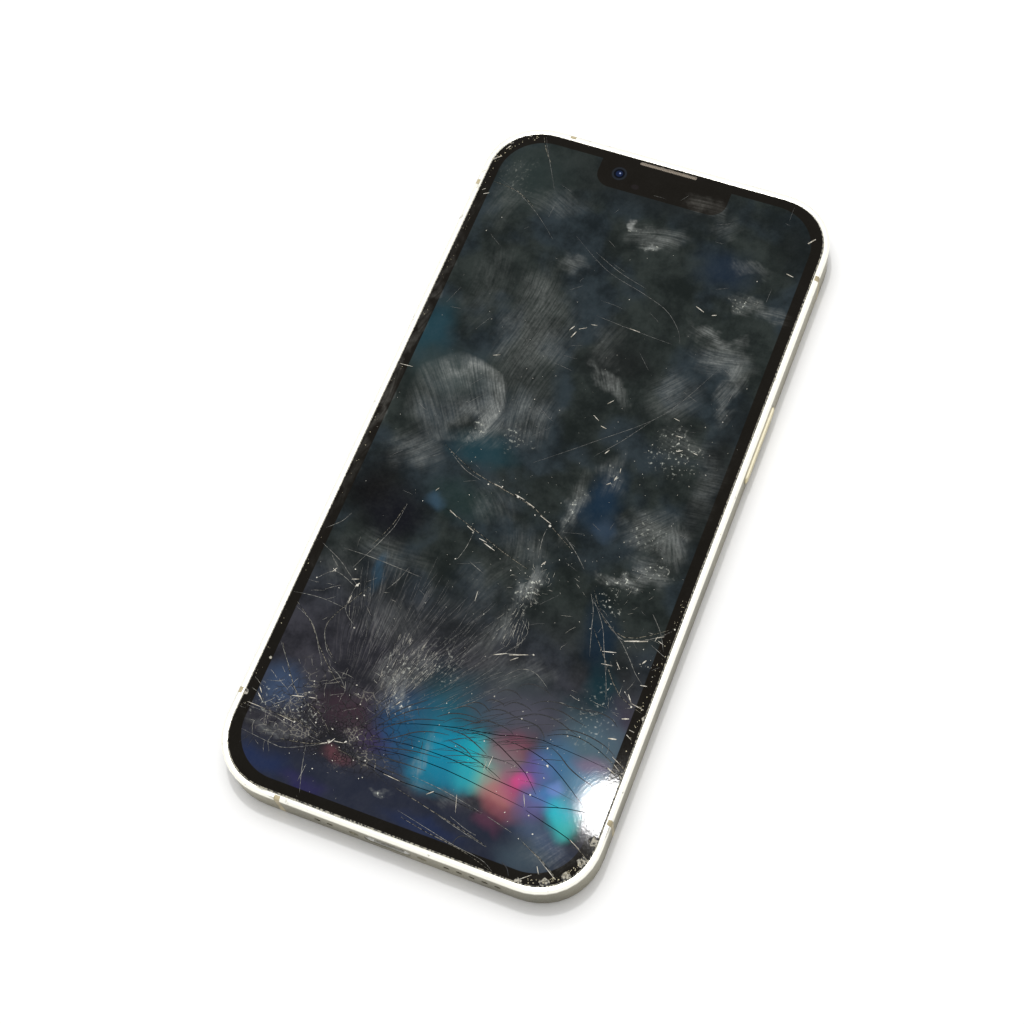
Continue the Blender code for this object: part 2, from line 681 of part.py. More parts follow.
def flake(name, x, y, depth):
    """A shallow ball-shaped cutter: glass breaks out in shell-shaped flakes."""
    shape = bmesh.new()
    bmesh.ops.create_icosphere(shape, subdivisions=2, radius=CHIP_SPHERE)
    mesh = bpy.data.meshes.new(name)
    shape.to_mesh(mesh)
    shape.free()
    return place(name, mesh, (*on_glass(x, y), THICKNESS + CHIP_SPHERE - depth * MAP_UNIT), None)


def ear_slot(name, clearance, low, high, surface=None):
    return slab(
        name,
        (-EAR_SLOT_LENGTH / 2 + clearance, EAR_SLOT_Y - EAR_SLOT_HEIGHT / 2 + clearance, low),
        (EAR_SLOT_LENGTH / 2 - clearance, EAR_SLOT_Y + EAR_SLOT_HEIGHT / 2 - clearance, high),
        surface,
        corner=EAR_SLOT_HEIGHT / 2 - clearance,
    )


def make_front():
    """Cover glass, its gasket, the display and the sheet behind it."""
    glass = outline_slab(
        "cover_glass", GLASS_X, GLASS_Y, GLASS_LOW, THICKNESS, GLASS_CORNER, COVER_GLASS, edge=GLASS_EDGE
    )
    cut(glass, ear_slot("ear_slot", 0, GLASS_LOW - PASS, THICKNESS + PASS))
    for name, points in CRACKS.items():
        cut(glass, groove("crack_" + name, points))
    for index, (x, y, depth) in enumerate(CHIPS):
        cut(glass, flake(f"chip_{index + 1}", x, y, depth))
    mesh_low = GLASS_LOW + EAR_MESH_THICKNESS / 2
    ear_slot("ear_mesh", SEAT_GAP, mesh_low, mesh_low + EAR_MESH_THICKNESS, STEEL)

    gasket(name="display_gasket", low=FRONT_LEDGE + SEAT_GAP)

    panel = outline_slab(
        "display_panel",
        BAY_X - 3 * FIT,
        BAY_Y - 3 * FIT,
        PANEL_LOW,
        PANEL_LOW + PANEL_THICKNESS,
        BAY_CORNER,
        DISPLAY,
    )
    cut(panel, notch("panel_notch", 0))
    sheet = outline_slab(
        "display_back_plate",
        BAY_X - 6 * FIT,
        BAY_Y - 6 * FIT,
        SHEET_LOW,
        SHEET_LOW + STEEL_SHEET,
        BAY_CORNER,
        STEEL,
    )
    cut(sheet, notch("sheet_notch", 2 * FIT))


def notch(name, extra):
    return slab(
        name,
        (-NOTCH_WIDTH / 2 - extra, NOTCH_LOW_Y - extra, SHEET_LOW - PASS),
        (NOTCH_WIDTH / 2 + extra, HALF_Y, GLASS_LOW + PASS),
        corner=NOTCH_CORNER,
    )


def gasket(name, low):
    """A ring of adhesive between a glass and its ledge."""
    high = low + GASKET_THICKNESS
    outside_x = GLASS_X - GASKET_MARGIN
    outside_y = GLASS_Y - GASKET_MARGIN
    ring = outline_slab(name, outside_x, outside_y, low, high, GLASS_CORNER - GASKET_MARGIN, ADHESIVE)
    inside_x = BAY_X + GASKET_MARGIN
    inside_y = BAY_Y + GASKET_MARGIN
    inside_corner = BAY_CORNER + GASKET_MARGIN
    cut(ring, outline_slab(name + "_window", inside_x, inside_y, low - PASS, high + PASS, inside_corner))


def window(name, clearance, low, high, surface=None):
    return slab(
        name,
        (WINDOW_X - WINDOW_WIDTH / 2 + clearance, WINDOW_Y - WINDOW_LENGTH / 2 + clearance, low),
        (WINDOW_X + WINDOW_WIDTH / 2 - clearance, WINDOW_Y + WINDOW_LENGTH / 2 - clearance, high),
        surface,
        corner=WINDOW_WIDTH / 2 - clearance,
        steps=8,
    )


def make_back():
    """Back glass with the flush camera window, lens rings, lenses and flash."""
    glass = outline_slab(
        "back_glass", GLASS_X, GLASS_Y, 0, BACK_GLASS_THICKNESS, GLASS_CORNER, BACK_GLASS, edge=GLASS_EDGE
    )
    cut(glass, window("window_hole", 0, -PASS, BACK_GLASS_THICKNESS + PASS))
    gasket(name="back_gasket", low=BACK_GLASS_THICKNESS + SEAT_GAP)

    pane = window("camera_window", FIT, 0, WINDOW_THICKNESS, LENS_GLASS)
    ring_top = BACK_GLASS_THICKNESS
    bore = LENS_RING_RADIUS - LENS_RING_WALL
    for lens, centre_y in (("main", MAIN_LENS_Y), ("wide", WIDE_LENS_Y)):
        hole_radius = LENS_RING_RADIUS + SEAT_GAP
        cut(pane, rod(lens + "_hole", (WINDOW_X, centre_y, 0), hole_radius, 4 * PASS, sides=32))
        ring_profile = [
            (LENS_RING_RADIUS, ring_top),
            (LENS_RING_RADIUS, 0.0),
            (bore, 0.0),
            (bore, ring_top),
        ]
        turned("camera_ring_" + lens, ring_profile, (WINDOW_X, centre_y, 0), STEEL)
        lens_radius = bore - SEAT_GAP
        lens_high = ring_top - LENS_GLASS_RECESS
        rod(
            "camera_lens_" + lens,
            (WINDOW_X, centre_y, (LENS_GLASS_RECESS + lens_high) / 2),
            lens_radius,
            lens_high - LENS_GLASS_RECESS,
            sides=32,
            surface=LENS_GLASS,
        )
    cut(pane, rod("flash_hole", (WINDOW_X, FLASH_Y, 0), FLASH_RADIUS + SEAT_GAP, 4 * PASS, sides=24))
    rod(
        "flash_lens",
        (WINDOW_X, FLASH_Y, WINDOW_THICKNESS / 2),
        FLASH_RADIUS,
        WINDOW_THICKNESS,
        sides=24,
        surface=CARD,
    )

    disc_low = BACK_GLASS_THICKNESS + FIT
    coil_profile = [
        (COIL_RADIUS, disc_low + COIL_THICKNESS),
        (COIL_RADIUS, disc_low),
        (COIL_BORE, disc_low),
        (COIL_BORE, disc_low + COIL_THICKNESS),
    ]
    turned("charging_coil", coil_profile, (0, COIL_Y, 0), COPPER, steps=40)
    magnet_profile = [
        (MAGNET_OUTER, disc_low + COIL_THICKNESS),
        (MAGNET_OUTER, disc_low),
        (MAGNET_INNER, disc_low),
        (MAGNET_INNER, disc_low + COIL_THICKNESS),
    ]
    turned("magnet_ring", magnet_profile, (0, COIL_Y, 0), STEEL, steps=48)


def barrel(name, centre, radius, low, high):
    """A lens barrel that is joined to its camera body."""
    centre_z = (low + high) / 2
    return rod(name, (centre[0], centre[1], centre_z), radius, high - low, sides=24, surface=BLACK_PLASTIC)


def make_cameras():
    """Rear camera modules on the chassis plate, their bracket, and the modules behind the notch."""
    camera_top = FLOOR + CAMERA_HEIGHT
    for lens, centre_y in (("main", MAIN_LENS_Y), ("wide", WIDE_LENS_Y)):
        body = slab(
            "camera_module_" + lens,
            (WINDOW_X - CAMERA_BODY / 2, centre_y - CAMERA_BODY / 2, FLOOR),
            (WINDOW_X + CAMERA_BODY / 2, centre_y + CAMERA_BODY / 2, camera_top),
            BLACK_PLASTIC,
            corner=CAMERA_CORNER,
            steps=2,
        )
        join(
            body,
            barrel(
                lens + "_barrel",
                (WINDOW_X, centre_y),
                CAMERA_BARREL,
                BACK_GLASS_THICKNESS + 2 * FIT,
                FLOOR + CAMERA_HEIGHT / 2,
            ),
        )
    bracket_low = camera_top + FIT
    bracket_high = bracket_low + 2 * STEEL_SHEET
    reach = CAMERA_BODY / 2 + BRACKET_MARGIN
    bracket_low_y = WIDE_LENS_Y - CAMERA_BODY / 2
    bracket_high_y = MAIN_LENS_Y + CAMERA_BODY / 2
    bracket = slab(
        "camera_bracket",
        (WINDOW_X - reach, bracket_low_y, bracket_low),
        (WINDOW_X + reach, bracket_high_y, bracket_high),
        STEEL,
        corner=BRACKET_CORNER,
        steps=3,
    )
    bracket_y = (bracket_low_y + bracket_high_y) / 2
    for side, word in ((-1, "left"), (1, "right")):
        screw_x = WINDOW_X + side * (reach - BRACKET_MARGIN / 2)
        bore_centre = (screw_x, bracket_y, bracket_low)
        cut(bracket, rod("bracket_bore_" + word, bore_centre, screw_hole(), 4 * PASS, sides=16))
        screw("bracket_screw_" + word, (screw_x, bracket_y, bracket_high + SEAT_GAP), bracket_high - FLOOR)

    camera = slab(
        "front_camera",
        (FRONT_CAMERA_X - FRONT_CAMERA_BODY / 2, FRONT_CAMERA_Y - FRONT_CAMERA_BODY / 2, FLOOR),
        (FRONT_CAMERA_X + FRONT_CAMERA_BODY / 2, FRONT_CAMERA_Y + FRONT_CAMERA_BODY / 2, SHEET_LOW),
        BLACK_PLASTIC,
        corner=MODULE_CORNER,
        steps=2,
    )
    join(
        camera,
        barrel(
            "front_barrel",
            (FRONT_CAMERA_X, FRONT_CAMERA_Y),
            FRONT_CAMERA_BARREL,
            SHEET_LOW - PASS,
            GLASS_LOW - FIT,
        ),
    )
    half_top = TOP_MODULE_WIDTH / 2
    speaker = slab(
        "ear_speaker",
        (EAR_SPEAKER_X - EAR_SPEAKER_LENGTH / 2, TOP_MODULE_Y - half_top, FLOOR),
        (EAR_SPEAKER_X + EAR_SPEAKER_LENGTH / 2, TOP_MODULE_Y + half_top, CEILING),
        BLACK_PLASTIC,
        corner=EAR_SPEAKER_CORNER,
        steps=3,
        edge=CAN_EDGE,
    )
    join(
        speaker,
        barrel(
            "proximity_sensor",
            (PROXIMITY_X, NOTCH_LOW_Y + PROXIMITY_RADIUS + 3 * FIT),
            PROXIMITY_RADIUS,
            CEILING - PASS,
            GLASS_LOW - FIT,
        ),
    )
    sensor = slab(
        "face_sensor",
        (FACE_SENSOR_X - FACE_SENSOR_LENGTH / 2, TOP_MODULE_Y - half_top, FLOOR),
        (FACE_SENSOR_X + FACE_SENSOR_LENGTH / 2, TOP_MODULE_Y + half_top, SHEET_LOW),
        BLACK_PLASTIC,
        corner=MODULE_CORNER,
        steps=2,
    )
    join(
        sensor,
        barrel(
            "face_barrel",
            (FACE_SENSOR_X, TOP_MODULE_Y),
            FRONT_CAMERA_BARREL,
            SHEET_LOW - PASS,
            GLASS_LOW - FIT,
        ),
    )


def screw_hole():
    return SCREW_SHANK_RADIUS + FIT


def screw(name, seat, length):
    """A screw whose head rests on a seat and whose shank points down, with a drive slot across its head."""
    profile = [
        (0.0, SCREW_HEAD_HEIGHT),
        (SCREW_HEAD_RADIUS, SCREW_HEAD_HEIGHT),
        (SCREW_HEAD_RADIUS, 0.0),
        (SCREW_SHANK_RADIUS, 0.0),
        (SCREW_SHANK_RADIUS, -length),
        (0.0, -length),
    ]
    item = turned(name, profile, seat, STEEL, steps=16)
    slot = slab(
        name + "_drive",
        (seat[0] - 2 * SCREW_HEAD_RADIUS, seat[1] - DRIVE_SLOT_WIDTH / 2, seat[2] + SCREW_HEAD_HEIGHT / 2),
        (seat[0] + 2 * SCREW_HEAD_RADIUS, seat[1] + DRIVE_SLOT_WIDTH / 2, seat[2] + SCREW_HEAD_HEIGHT + PASS),
    )
    cut(item, slot)
    return item


def make_buttons():
    """The three side buttons, each with the switch that it presses."""
    for name, side, centre_y, length in button_places():
        flange_x = BAY_X - FIT - BUTTON_FLANGE
        ends = sorted([side * flange_x, side * (HALF_X + BUTTON_PROUD)])
        cap = slab(
            name + "_button",
            (ends[0], centre_y - length / 2, SIDE_Z - BUTTON_HEIGHT / 2),
            (ends[1], centre_y + length / 2, SIDE_Z + BUTTON_HEIGHT / 2),
            ALUMINIUM,
            corner=BUTTON_HEIGHT / 2,
            steps=6,
            edge=BUTTON_EDGE,
            edge_steps=2,
            axis="X",
        )
        flange_ends = sorted([side * flange_x, side * (BAY_X - FIT)])
        flange_reach = length / 2 + BUTTON_LIP
        flange = slab(
            name + "_flange",
            (flange_ends[0], centre_y - flange_reach, SIDE_Z - BUTTON_HEIGHT / 2),
            (flange_ends[1], centre_y + flange_reach, SIDE_Z + BUTTON_HEIGHT / 2),
            ALUMINIUM,
        )
        join(cap, flange)
        switch_outer = flange_x - BUTTON_TRAVEL - FIT
        switch_ends = sorted([side * switch_outer, side * (switch_outer - SWITCH_THICKNESS)])
        slab(
            name + "_switch",
            (switch_ends[0], centre_y - SWITCH_LENGTH / 2, FLOOR),
            (switch_ends[1], centre_y + SWITCH_LENGTH / 2, SIDE_Z + BUTTON_HEIGHT / 2),
            STEEL,
            edge=CAN_EDGE,
        )


def make_mute_switch():
    """The slider in the left wall and the switch that it moves."""
    high = SIDE_Z + mute_slot_height() / 2 - FIT
    low = high - MUTE_HEIGHT
    slider = slab(
        "mute_slider",
        (-HALF_X - MUTE_PROUD, MUTE_Y - MUTE_SLOT_LENGTH / 2 + FIT, low),
        (-BAY_X + FIT, MUTE_Y + MUTE_SLOT_LENGTH / 2 - FIT, high),
        ALUMINIUM,
        corner=MUTE_HEIGHT / 2,
        steps=4,
        edge=MUTE_EDGE,
        axis="X",
    )
    stem_end = -BAY_X + PASS
    join(
        slider,
        slab(
            "mute_stem",
            (-BAY_X - PASS, MUTE_Y - MUTE_TRAVEL / 2, low + MUTE_HEIGHT / 4),
            (stem_end, MUTE_Y + MUTE_TRAVEL / 2, high - MUTE_HEIGHT / 4),
            ALUMINIUM,
        ),
    )
    slab(
        "mute_switch_body",
        (stem_end + FIT, MUTE_Y - MUTE_SLOT_LENGTH / 2, FLOOR),
        (stem_end + FIT + SWITCH_THICKNESS, MUTE_Y + MUTE_SLOT_LENGTH / 2, SIDE_Z + BUTTON_HEIGHT / 2),
        BLACK_PLASTIC,
        edge=CAN_EDGE,
    )


def make_card_tray():
    """The card tray, the card in its pocket, and the reader that both slide into."""
    half_thick = TRAY_THICKNESS / 2
    tray = slab(
        "card_tray",
        (-HALF_X, TRAY_Y - TRAY_CAP_LENGTH / 2, SIDE_Z - TRAY_CAP_HEIGHT / 2),
        (-HALF_X + TRAY_CAP_DEPTH, TRAY_Y + TRAY_CAP_LENGTH / 2, SIDE_Z + TRAY_CAP_HEIGHT / 2),
        ALUMINIUM,
        corner=TRAY_CAP_HEIGHT / 2,
        steps=6,
        axis="X",
    )
    tray_end = -HALF_X + TRAY_LENGTH
    join(
        tray,
        slab(
            "tray_tongue",
            (-HALF_X + TRAY_CAP_DEPTH / 2, TRAY_Y - TRAY_WIDTH / 2, SIDE_Z - half_thick),
            (tray_end, TRAY_Y + TRAY_WIDTH / 2, SIDE_Z + half_thick),
            ALUMINIUM,
        ),
    )
    card_high_x = tray_end - CARD_END_WALL
    card_low_x = card_high_x - CARD_LENGTH
    pocket_floor = SIDE_Z - half_thick + TRAY_FLOOR
    cut(
        tray,
        slab(
            "card_pocket",
            (card_low_x - FIT, TRAY_Y - CARD_WIDTH / 2 - FIT, pocket_floor),
            (card_high_x + FIT, TRAY_Y + CARD_WIDTH / 2 + FIT, SIDE_Z + PASS),
        ),
        rod(
            "eject_hole",
            (-HALF_X, TRAY_Y + EJECT_OFFSET, SIDE_Z),
            EJECT_RADIUS,
            4 * TRAY_CAP_DEPTH,
            "X",
            12,
        ),
    )
    slab(
        "phone_card",
        (card_low_x, TRAY_Y - CARD_WIDTH / 2, pocket_floor + SEAT_GAP),
        (card_high_x, TRAY_Y + CARD_WIDTH / 2, pocket_floor + SEAT_GAP + CARD_THICKNESS),
        CARD,
        corner=CARD_CORNER,
        steps=3,
    )
    inside_y = TRAY_WIDTH / 2 + 2 * FIT
    inside_z = half_thick + 2 * FIT
    reader = slab(
        "card_reader",
        (BOARD_LEFT, TRAY_Y - inside_y - READER_WALL, BOARD_TOP + FIT),
        (tray_end + 2 * FIT + READER_WALL, TRAY_Y + inside_y + READER_WALL, SIDE_Z + inside_z + READER_WALL),
        STEEL,
    )
    cut(
        reader,
        slab(
            "reader_mouth",
            (-HALF_X, TRAY_Y - inside_y, SIDE_Z - inside_z),
            (tray_end + 2 * FIT, TRAY_Y + inside_y, SIDE_Z + inside_z),
        ),
    )


def make_chassis():
    """The plate that carries everything, with holes for the rear cameras and flash."""
    plate = outline_slab(
        "chassis_plate", BAY_X - FIT, BAY_Y - FIT, PLATE_LOW, PLATE_LOW + PLATE_THICKNESS, BAY_CORNER, STEEL
    )
    port_radius = CAMERA_BARREL + 2 * FIT
    for lens, centre_y in (("main", MAIN_LENS_Y), ("wide", WIDE_LENS_Y)):
        cut(plate, rod(lens + "_port", (WINDOW_X, centre_y, PLATE_LOW), port_radius, 4 * PASS, sides=24))
    cut(plate, rod("flash_port", (WINDOW_X, FLASH_Y, PLATE_LOW), FLASH_RADIUS, 4 * PASS, sides=16))


def make_board():
    """Logic board with its shields, and the plate that holds its connectors down."""
    board = slab(
        "logic_board",
        (BOARD_LEFT, BOARD_LOW_Y, FLOOR),
        (BOARD_RIGHT, BOARD_HIGH_Y, BOARD_TOP),
        BOARD,
        corner=BOARD_CORNER,
        steps=2,
    )
    shield_low = BOARD_TOP + FIT
    shield_left = BOARD_LEFT + SHIELD_MARGIN
    shield_right = BOARD_RIGHT - SHIELD_MARGIN
    upper_high = BOARD_HIGH_Y - SHIELD_MARGIN
    lower_low = BOARD_LOW_Y + SHIELD_MARGIN
    slab(
        "board_shield_upper",
        (shield_left, upper_high - UPPER_SHIELD_LENGTH, shield_low),
        (shield_right, upper_high, shield_low + SHIELD_HEIGHT),
        STEEL,
        corner=CAN_CORNER,
        steps=2,
        edge=CAN_EDGE,
    )
    slab(
        "board_shield_lower",
        (shield_left, lower_low, shield_low),
        (shield_right, lower_low + LOWER_SHIELD_LENGTH, shield_low + SHIELD_HEIGHT),
        STEEL,
        corner=CAN_CORNER,
        steps=2,
        edge=CAN_EDGE,
    )
    plate_left = BOARD_RIGHT - COVER_PLATE_WIDTH
    plate_x = (plate_left + BOARD_RIGHT) / 2
    plate_low_y = COVER_PLATE_Y - COVER_PLATE_LENGTH / 2
    plate_high_y = COVER_PLATE_Y + COVER_PLATE_LENGTH / 2
    plate_high = COVER_PLATE_Z + 2 * STEEL_SHEET
    cover = slab(
        "connector_cover",
        (plate_left, plate_low_y, COVER_PLATE_Z),
        (BOARD_RIGHT, plate_high_y, plate_high),
        STEEL,
        corner=CAN_CORNER,
        steps=3,
    )
    bore_inset = SCREW_HEAD_RADIUS + 3 * FIT
    for word, bore_y in (("lower", plate_low_y + bore_inset), ("upper", plate_high_y - bore_inset)):
        bore = rod("cover_bore_" + word, (plate_x, bore_y, COVER_PLATE_Z), screw_hole(), 8 * PASS, sides=16)
        cut(cover, bore)
        cut(board, bore)
        screw("cover_screw_" + word, (plate_x, bore_y, plate_high + SEAT_GAP), plate_high - FLOOR)
    connector_low_y = plate_low_y + 2 * bore_inset
    connector_high_y = plate_high_y - 2 * bore_inset
    slab(
        "board_connector",
        (plate_left + 2 * bore_inset, connector_low_y, BOARD_TOP + FIT),
        (BOARD_RIGHT - 2 * FIT, connector_high_y, COVER_PLATE_Z - FIT),
        BLACK_PLASTIC,
        edge=CAN_EDGE,
    )


def make_battery():
    """Battery on its stretch-release adhesive strip."""
    left = COLUMN_SPLIT_X + COLUMN_GAP / 2
    low_y = BOTTOM_ROW_Y + ROW_GAP
    strip_low = FLOOR - FIT / 2
    strip_high = strip_low + BATTERY_STRIP_THICKNESS
    middle = (left + COLUMN_EDGE) / 2
    slab(
        "battery_adhesive",
        (middle - BATTERY_STRIP_WIDTH / 2, low_y + ROW_GAP, strip_low),
        (middle + BATTERY_STRIP_WIDTH / 2, BATTERY_HIGH_Y - ROW_GAP, strip_high),
        CARD,
    )
    slab(
        "battery",
        (left, low_y, strip_high + SEAT_GAP),
        (COLUMN_EDGE, BATTERY_HIGH_Y, CEILING - BATTERY_HEADROOM),
        BATTERY_FOIL,
        corner=BATTERY_CORNER,
        steps=3,
        edge=BATTERY_EDGE,
        edge_steps=2,
    )


def make_bottom():
    """Charging port, bottom screws, loudspeaker, microphone and vibration motor."""
    port_low = SIDE_Z - PORT_HEIGHT / 2 - PORT_WALL
    port_high = SIDE_Z + PORT_HEIGHT / 2 + PORT_WALL
    mouth = -HALF_Y + FIT
    shell = slab(
        "port_shell",
        (-PORT_WIDTH / 2 - PORT_WALL, mouth, port_low),
        (PORT_WIDTH / 2 + PORT_WALL, mouth + PORT_DEPTH, port_high),
        STEEL,
        corner=PORT_HEIGHT / 2 + PORT_WALL,
        steps=6,
        axis="Y",
    )
    cut(
        shell,
        slab(
            "port_mouth",
            (-PORT_WIDTH / 2, mouth - PASS, SIDE_Z - PORT_HEIGHT / 2),
            (PORT_WIDTH / 2, mouth + PORT_DEPTH - 2 * PORT_WALL, SIDE_Z + PORT_HEIGHT / 2),
            corner=PORT_HEIGHT / 2,
            steps=6,
            axis="Y",
        ),
    )
    slab(
        "port_contacts",
        (-PORT_CONTACT_WIDTH / 2, mouth + PASS, SIDE_Z + PORT_HEIGHT / 2 - SEAT_GAP - PORT_CONTACT_THICKNESS),
        (PORT_CONTACT_WIDTH / 2, mouth + PORT_DEPTH - 3 * PORT_WALL, SIDE_Z + PORT_HEIGHT / 2 - SEAT_GAP),
        COPPER,
    )
    flex_start = mouth + PORT_DEPTH + FIT
    flex_bend = flex_start + FLEX_STRAIGHT
    flex_z = FLOOR + FLEX_HEIGHT
    flex_path = [
        (flex_start, SIDE_Z),
        (flex_bend, SIDE_Z),
        (flex_bend + FLEX_SLOPE, flex_z),
        (BOTTOM_ROW_Y, flex_z),
    ]
    ribbon("port_flex", flex_path, -PORT_WIDTH / 2, PORT_WIDTH / 2)
    for side, word in ((-1, "left"), (1, "right")):
        item = screw("bottom_screw_" + word, (0, 0, 0), BOTTOM_SCREW_LENGTH)
        holder = bpy.data.objects.new("bottom_screw_seat_" + word, None)
        CUTTERS.objects.link(holder)
        seat_y = -HALF_Y + SCREW_RECESS + SCREW_HEAD_HEIGHT
        holder.location = (side * BOTTOM_SCREW_X, seat_y, SIDE_Z)
        holder.rotation_euler = (math.radians(90), 0, 0)
        item.parent = holder
        item.modifiers[-1].object.parent = holder

    inner = -BAY_Y + MESH_SHEET + 2 * FIT
    speaker_left = HOLE_START_X - HOLE_PITCH
    slab(
        "loudspeaker",
        (speaker_left, inner, FLOOR),
        (speaker_left + SPEAKER_WIDTH, inner + SPEAKER_LENGTH, CEILING),
        BLACK_PLASTIC,
        corner=SPEAKER_CORNER,
        steps=4,
        edge=BOTTOM_MODULE_EDGE,
    )
    grille(
        "speaker_mesh", HOLE_START_X - HOLE_PITCH / 2, HOLE_START_X + (SPEAKER_HOLES - 0.5) * HOLE_PITCH
    )
    microphone = grille(
        "microphone", -HOLE_START_X - (MICROPHONE_HOLES - 0.5) * HOLE_PITCH, -HOLE_START_X + HOLE_PITCH / 2
    )
    microphone_x = -HOLE_START_X - (MICROPHONE_HOLES - 1) * HOLE_PITCH / 2
    join(
        microphone,
        slab(
            "microphone_can",
            (microphone_x - MICROPHONE_WIDTH / 2, -BAY_Y + 2 * FIT, SIDE_Z - MICROPHONE_HEIGHT / 2),
            (microphone_x + MICROPHONE_WIDTH / 2, inner + MICROPHONE_LENGTH, SIDE_Z + MICROPHONE_HEIGHT / 2),
            STEEL,
        ),
    )
    motor_low_y = inner + MICROPHONE_LENGTH + ROW_GAP / 2
    motor_high_x = -BOTTOM_MODULE_X
    slab(
        "vibration_motor",
        (motor_high_x - MOTOR_LENGTH, motor_low_y, FLOOR),
        (motor_high_x, motor_low_y + MOTOR_WIDTH, CEILING),
        STEEL,
        corner=MOTOR_CORNER,
        steps=3,
        edge=BOTTOM_MODULE_EDGE,
    )


def grille(name, low_x, high_x):
    """Dust mesh held flat against the inside of the bottom wall."""
    return slab(
        name,
        (low_x, -BAY_Y + FIT, SIDE_Z - HOLE_RADIUS - 4 * FIT),
        (high_x, -BAY_Y + FIT + MESH_SHEET, SIDE_Z + HOLE_RADIUS + 4 * FIT),
        STEEL,
        corner=HOLE_RADIUS,
        steps=3,
        axis="Y",
    )


def ribbon(name, path, low_x, high_x):
    """A flat flexible circuit that follows a path in the YZ plane."""
    shape = bmesh.new()
    spots = [shape.verts.new((low_x, y, z)) for y, z in path]
    lines = [shape.edges.new(pair) for pair in zip(spots, spots[1:])]
    grown = bmesh.ops.extrude_edge_only(shape, edges=lines)
    moved = [item for item in grown["geom"] if isinstance(item, bmesh.types.BMVert)]
    bmesh.ops.translate(shape, vec=(high_x - low_x, 0, 0), verts=moved)
    bmesh.ops.recalc_face_normals(shape, faces=shape.faces)
    mesh = bpy.data.meshes.new(name)
    shape.to_mesh(mesh)
    shape.free()
    item = place(name, mesh, (0, 0, 0), FLEX)
    wall = item.modifiers.new("thickness", "SOLIDIFY")
    wall.thickness = FLEX_THICKNESS
    wall.offset = 0
    return item


make_frame()
make_bands()
make_chassis()
make_back()
make_front()
make_cameras()
make_buttons()
make_mute_switch()
make_card_tray()
make_board()
make_battery()
make_bottom()
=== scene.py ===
"""Looks of a phone with a shattered screen, section by section in the order the phone is put together."""

import math
import random

import bmesh
import bpy
from mathutils import Matrix, Vector


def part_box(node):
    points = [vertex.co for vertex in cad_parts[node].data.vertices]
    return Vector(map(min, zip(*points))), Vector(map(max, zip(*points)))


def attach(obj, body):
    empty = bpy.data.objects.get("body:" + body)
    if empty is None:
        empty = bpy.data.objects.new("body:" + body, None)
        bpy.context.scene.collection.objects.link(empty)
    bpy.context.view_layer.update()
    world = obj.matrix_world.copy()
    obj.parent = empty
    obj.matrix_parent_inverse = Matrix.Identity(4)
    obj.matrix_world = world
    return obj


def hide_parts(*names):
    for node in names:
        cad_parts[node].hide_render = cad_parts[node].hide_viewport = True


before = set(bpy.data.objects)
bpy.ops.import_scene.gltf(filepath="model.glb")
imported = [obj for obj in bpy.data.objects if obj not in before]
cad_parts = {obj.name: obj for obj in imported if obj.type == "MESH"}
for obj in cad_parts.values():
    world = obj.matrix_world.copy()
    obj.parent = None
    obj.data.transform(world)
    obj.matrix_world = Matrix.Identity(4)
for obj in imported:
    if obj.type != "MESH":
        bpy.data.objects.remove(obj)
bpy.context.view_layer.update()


# Side frame: one aluminium bar milled to a ring, blasted to a fine satin and anodised a pale champagne.
# Its front edge is cut last and polished; the wall is coloured darker than the champagne, a painted shade,
# and towards the front edge it goes near white, a painted highlight round the dark glass.

MM = 0.001
MERGE = 0.001 * MM
SMOOTH_UNDER = math.radians(50)
FLAT_UNDER = math.radians(0.3)
SOFT = {"interpolation_type": "SMOOTHSTEP"}


def linear(code):
    """Linear colour of an sRGB hex value."""
    parts = [int(code[at : at + 2], 16) / 255 for at in (0, 2, 4)]
    return (*[part / 12.92 if part <= 0.04045 else ((part + 0.055) / 1.055) ** 2.4 for part in parts], 1.0)


def add(tree, kind, inputs, **settings):
    """Add a node with its settings, give each input a value or a link, and return its outputs."""
    node = tree.nodes.new("ShaderNode" + kind)
    for name, setting in settings.items():
        setattr(node, name, setting)
    for name, value in inputs.items():
        if isinstance(value, bpy.types.NodeSocket):
            tree.links.new(value, node.inputs[name])
        else:
            node.inputs[name].default_value = value
    return node.outputs


def start_finish(name, metallic=0.0):
    """A new material, with its tree, its shader and the object coordinates that its patterns follow."""
    surface = bpy.data.materials.new(name)
    surface.use_nodes = True
    tree = surface.node_tree
    shader = tree.nodes["Principled BSDF"]
    shader.inputs["Metallic"].default_value = metallic
    return surface, tree, shader, add(tree, "TexCoord", {})["Object"]


def between(tree, pattern, start, end, first, second, strength=1.0):
    """The colour that goes softly from one to another as a pattern goes from start to end."""
    share = add(tree, "MapRange", {0: pattern, 1: start, 2: end, 3: 0.0, 4: strength}, **SOFT)[0]
    return add(tree, "Mix", {0: share, 6: first, 7: second}, data_type="RGBA")[2]


def finish_shader(tree, shader, colour, pattern, smoothest, roughest, height, depth):
    """Feed a shader its colour, its roughness from a pattern, and bump of a real depth."""
    roughness = add(tree, "MapRange", {0: pattern, 1: 0.3, 2: 0.7, 3: smoothest, 4: roughest})[0]
    normal = add(tree, "Bump", {"Height": height, "Distance": depth})[0]
    tree.links.new(colour, shader.inputs["Base Color"])
    tree.links.new(roughness, shader.inputs["Roughness"])
    tree.links.new(normal, shader.inputs["Normal"])


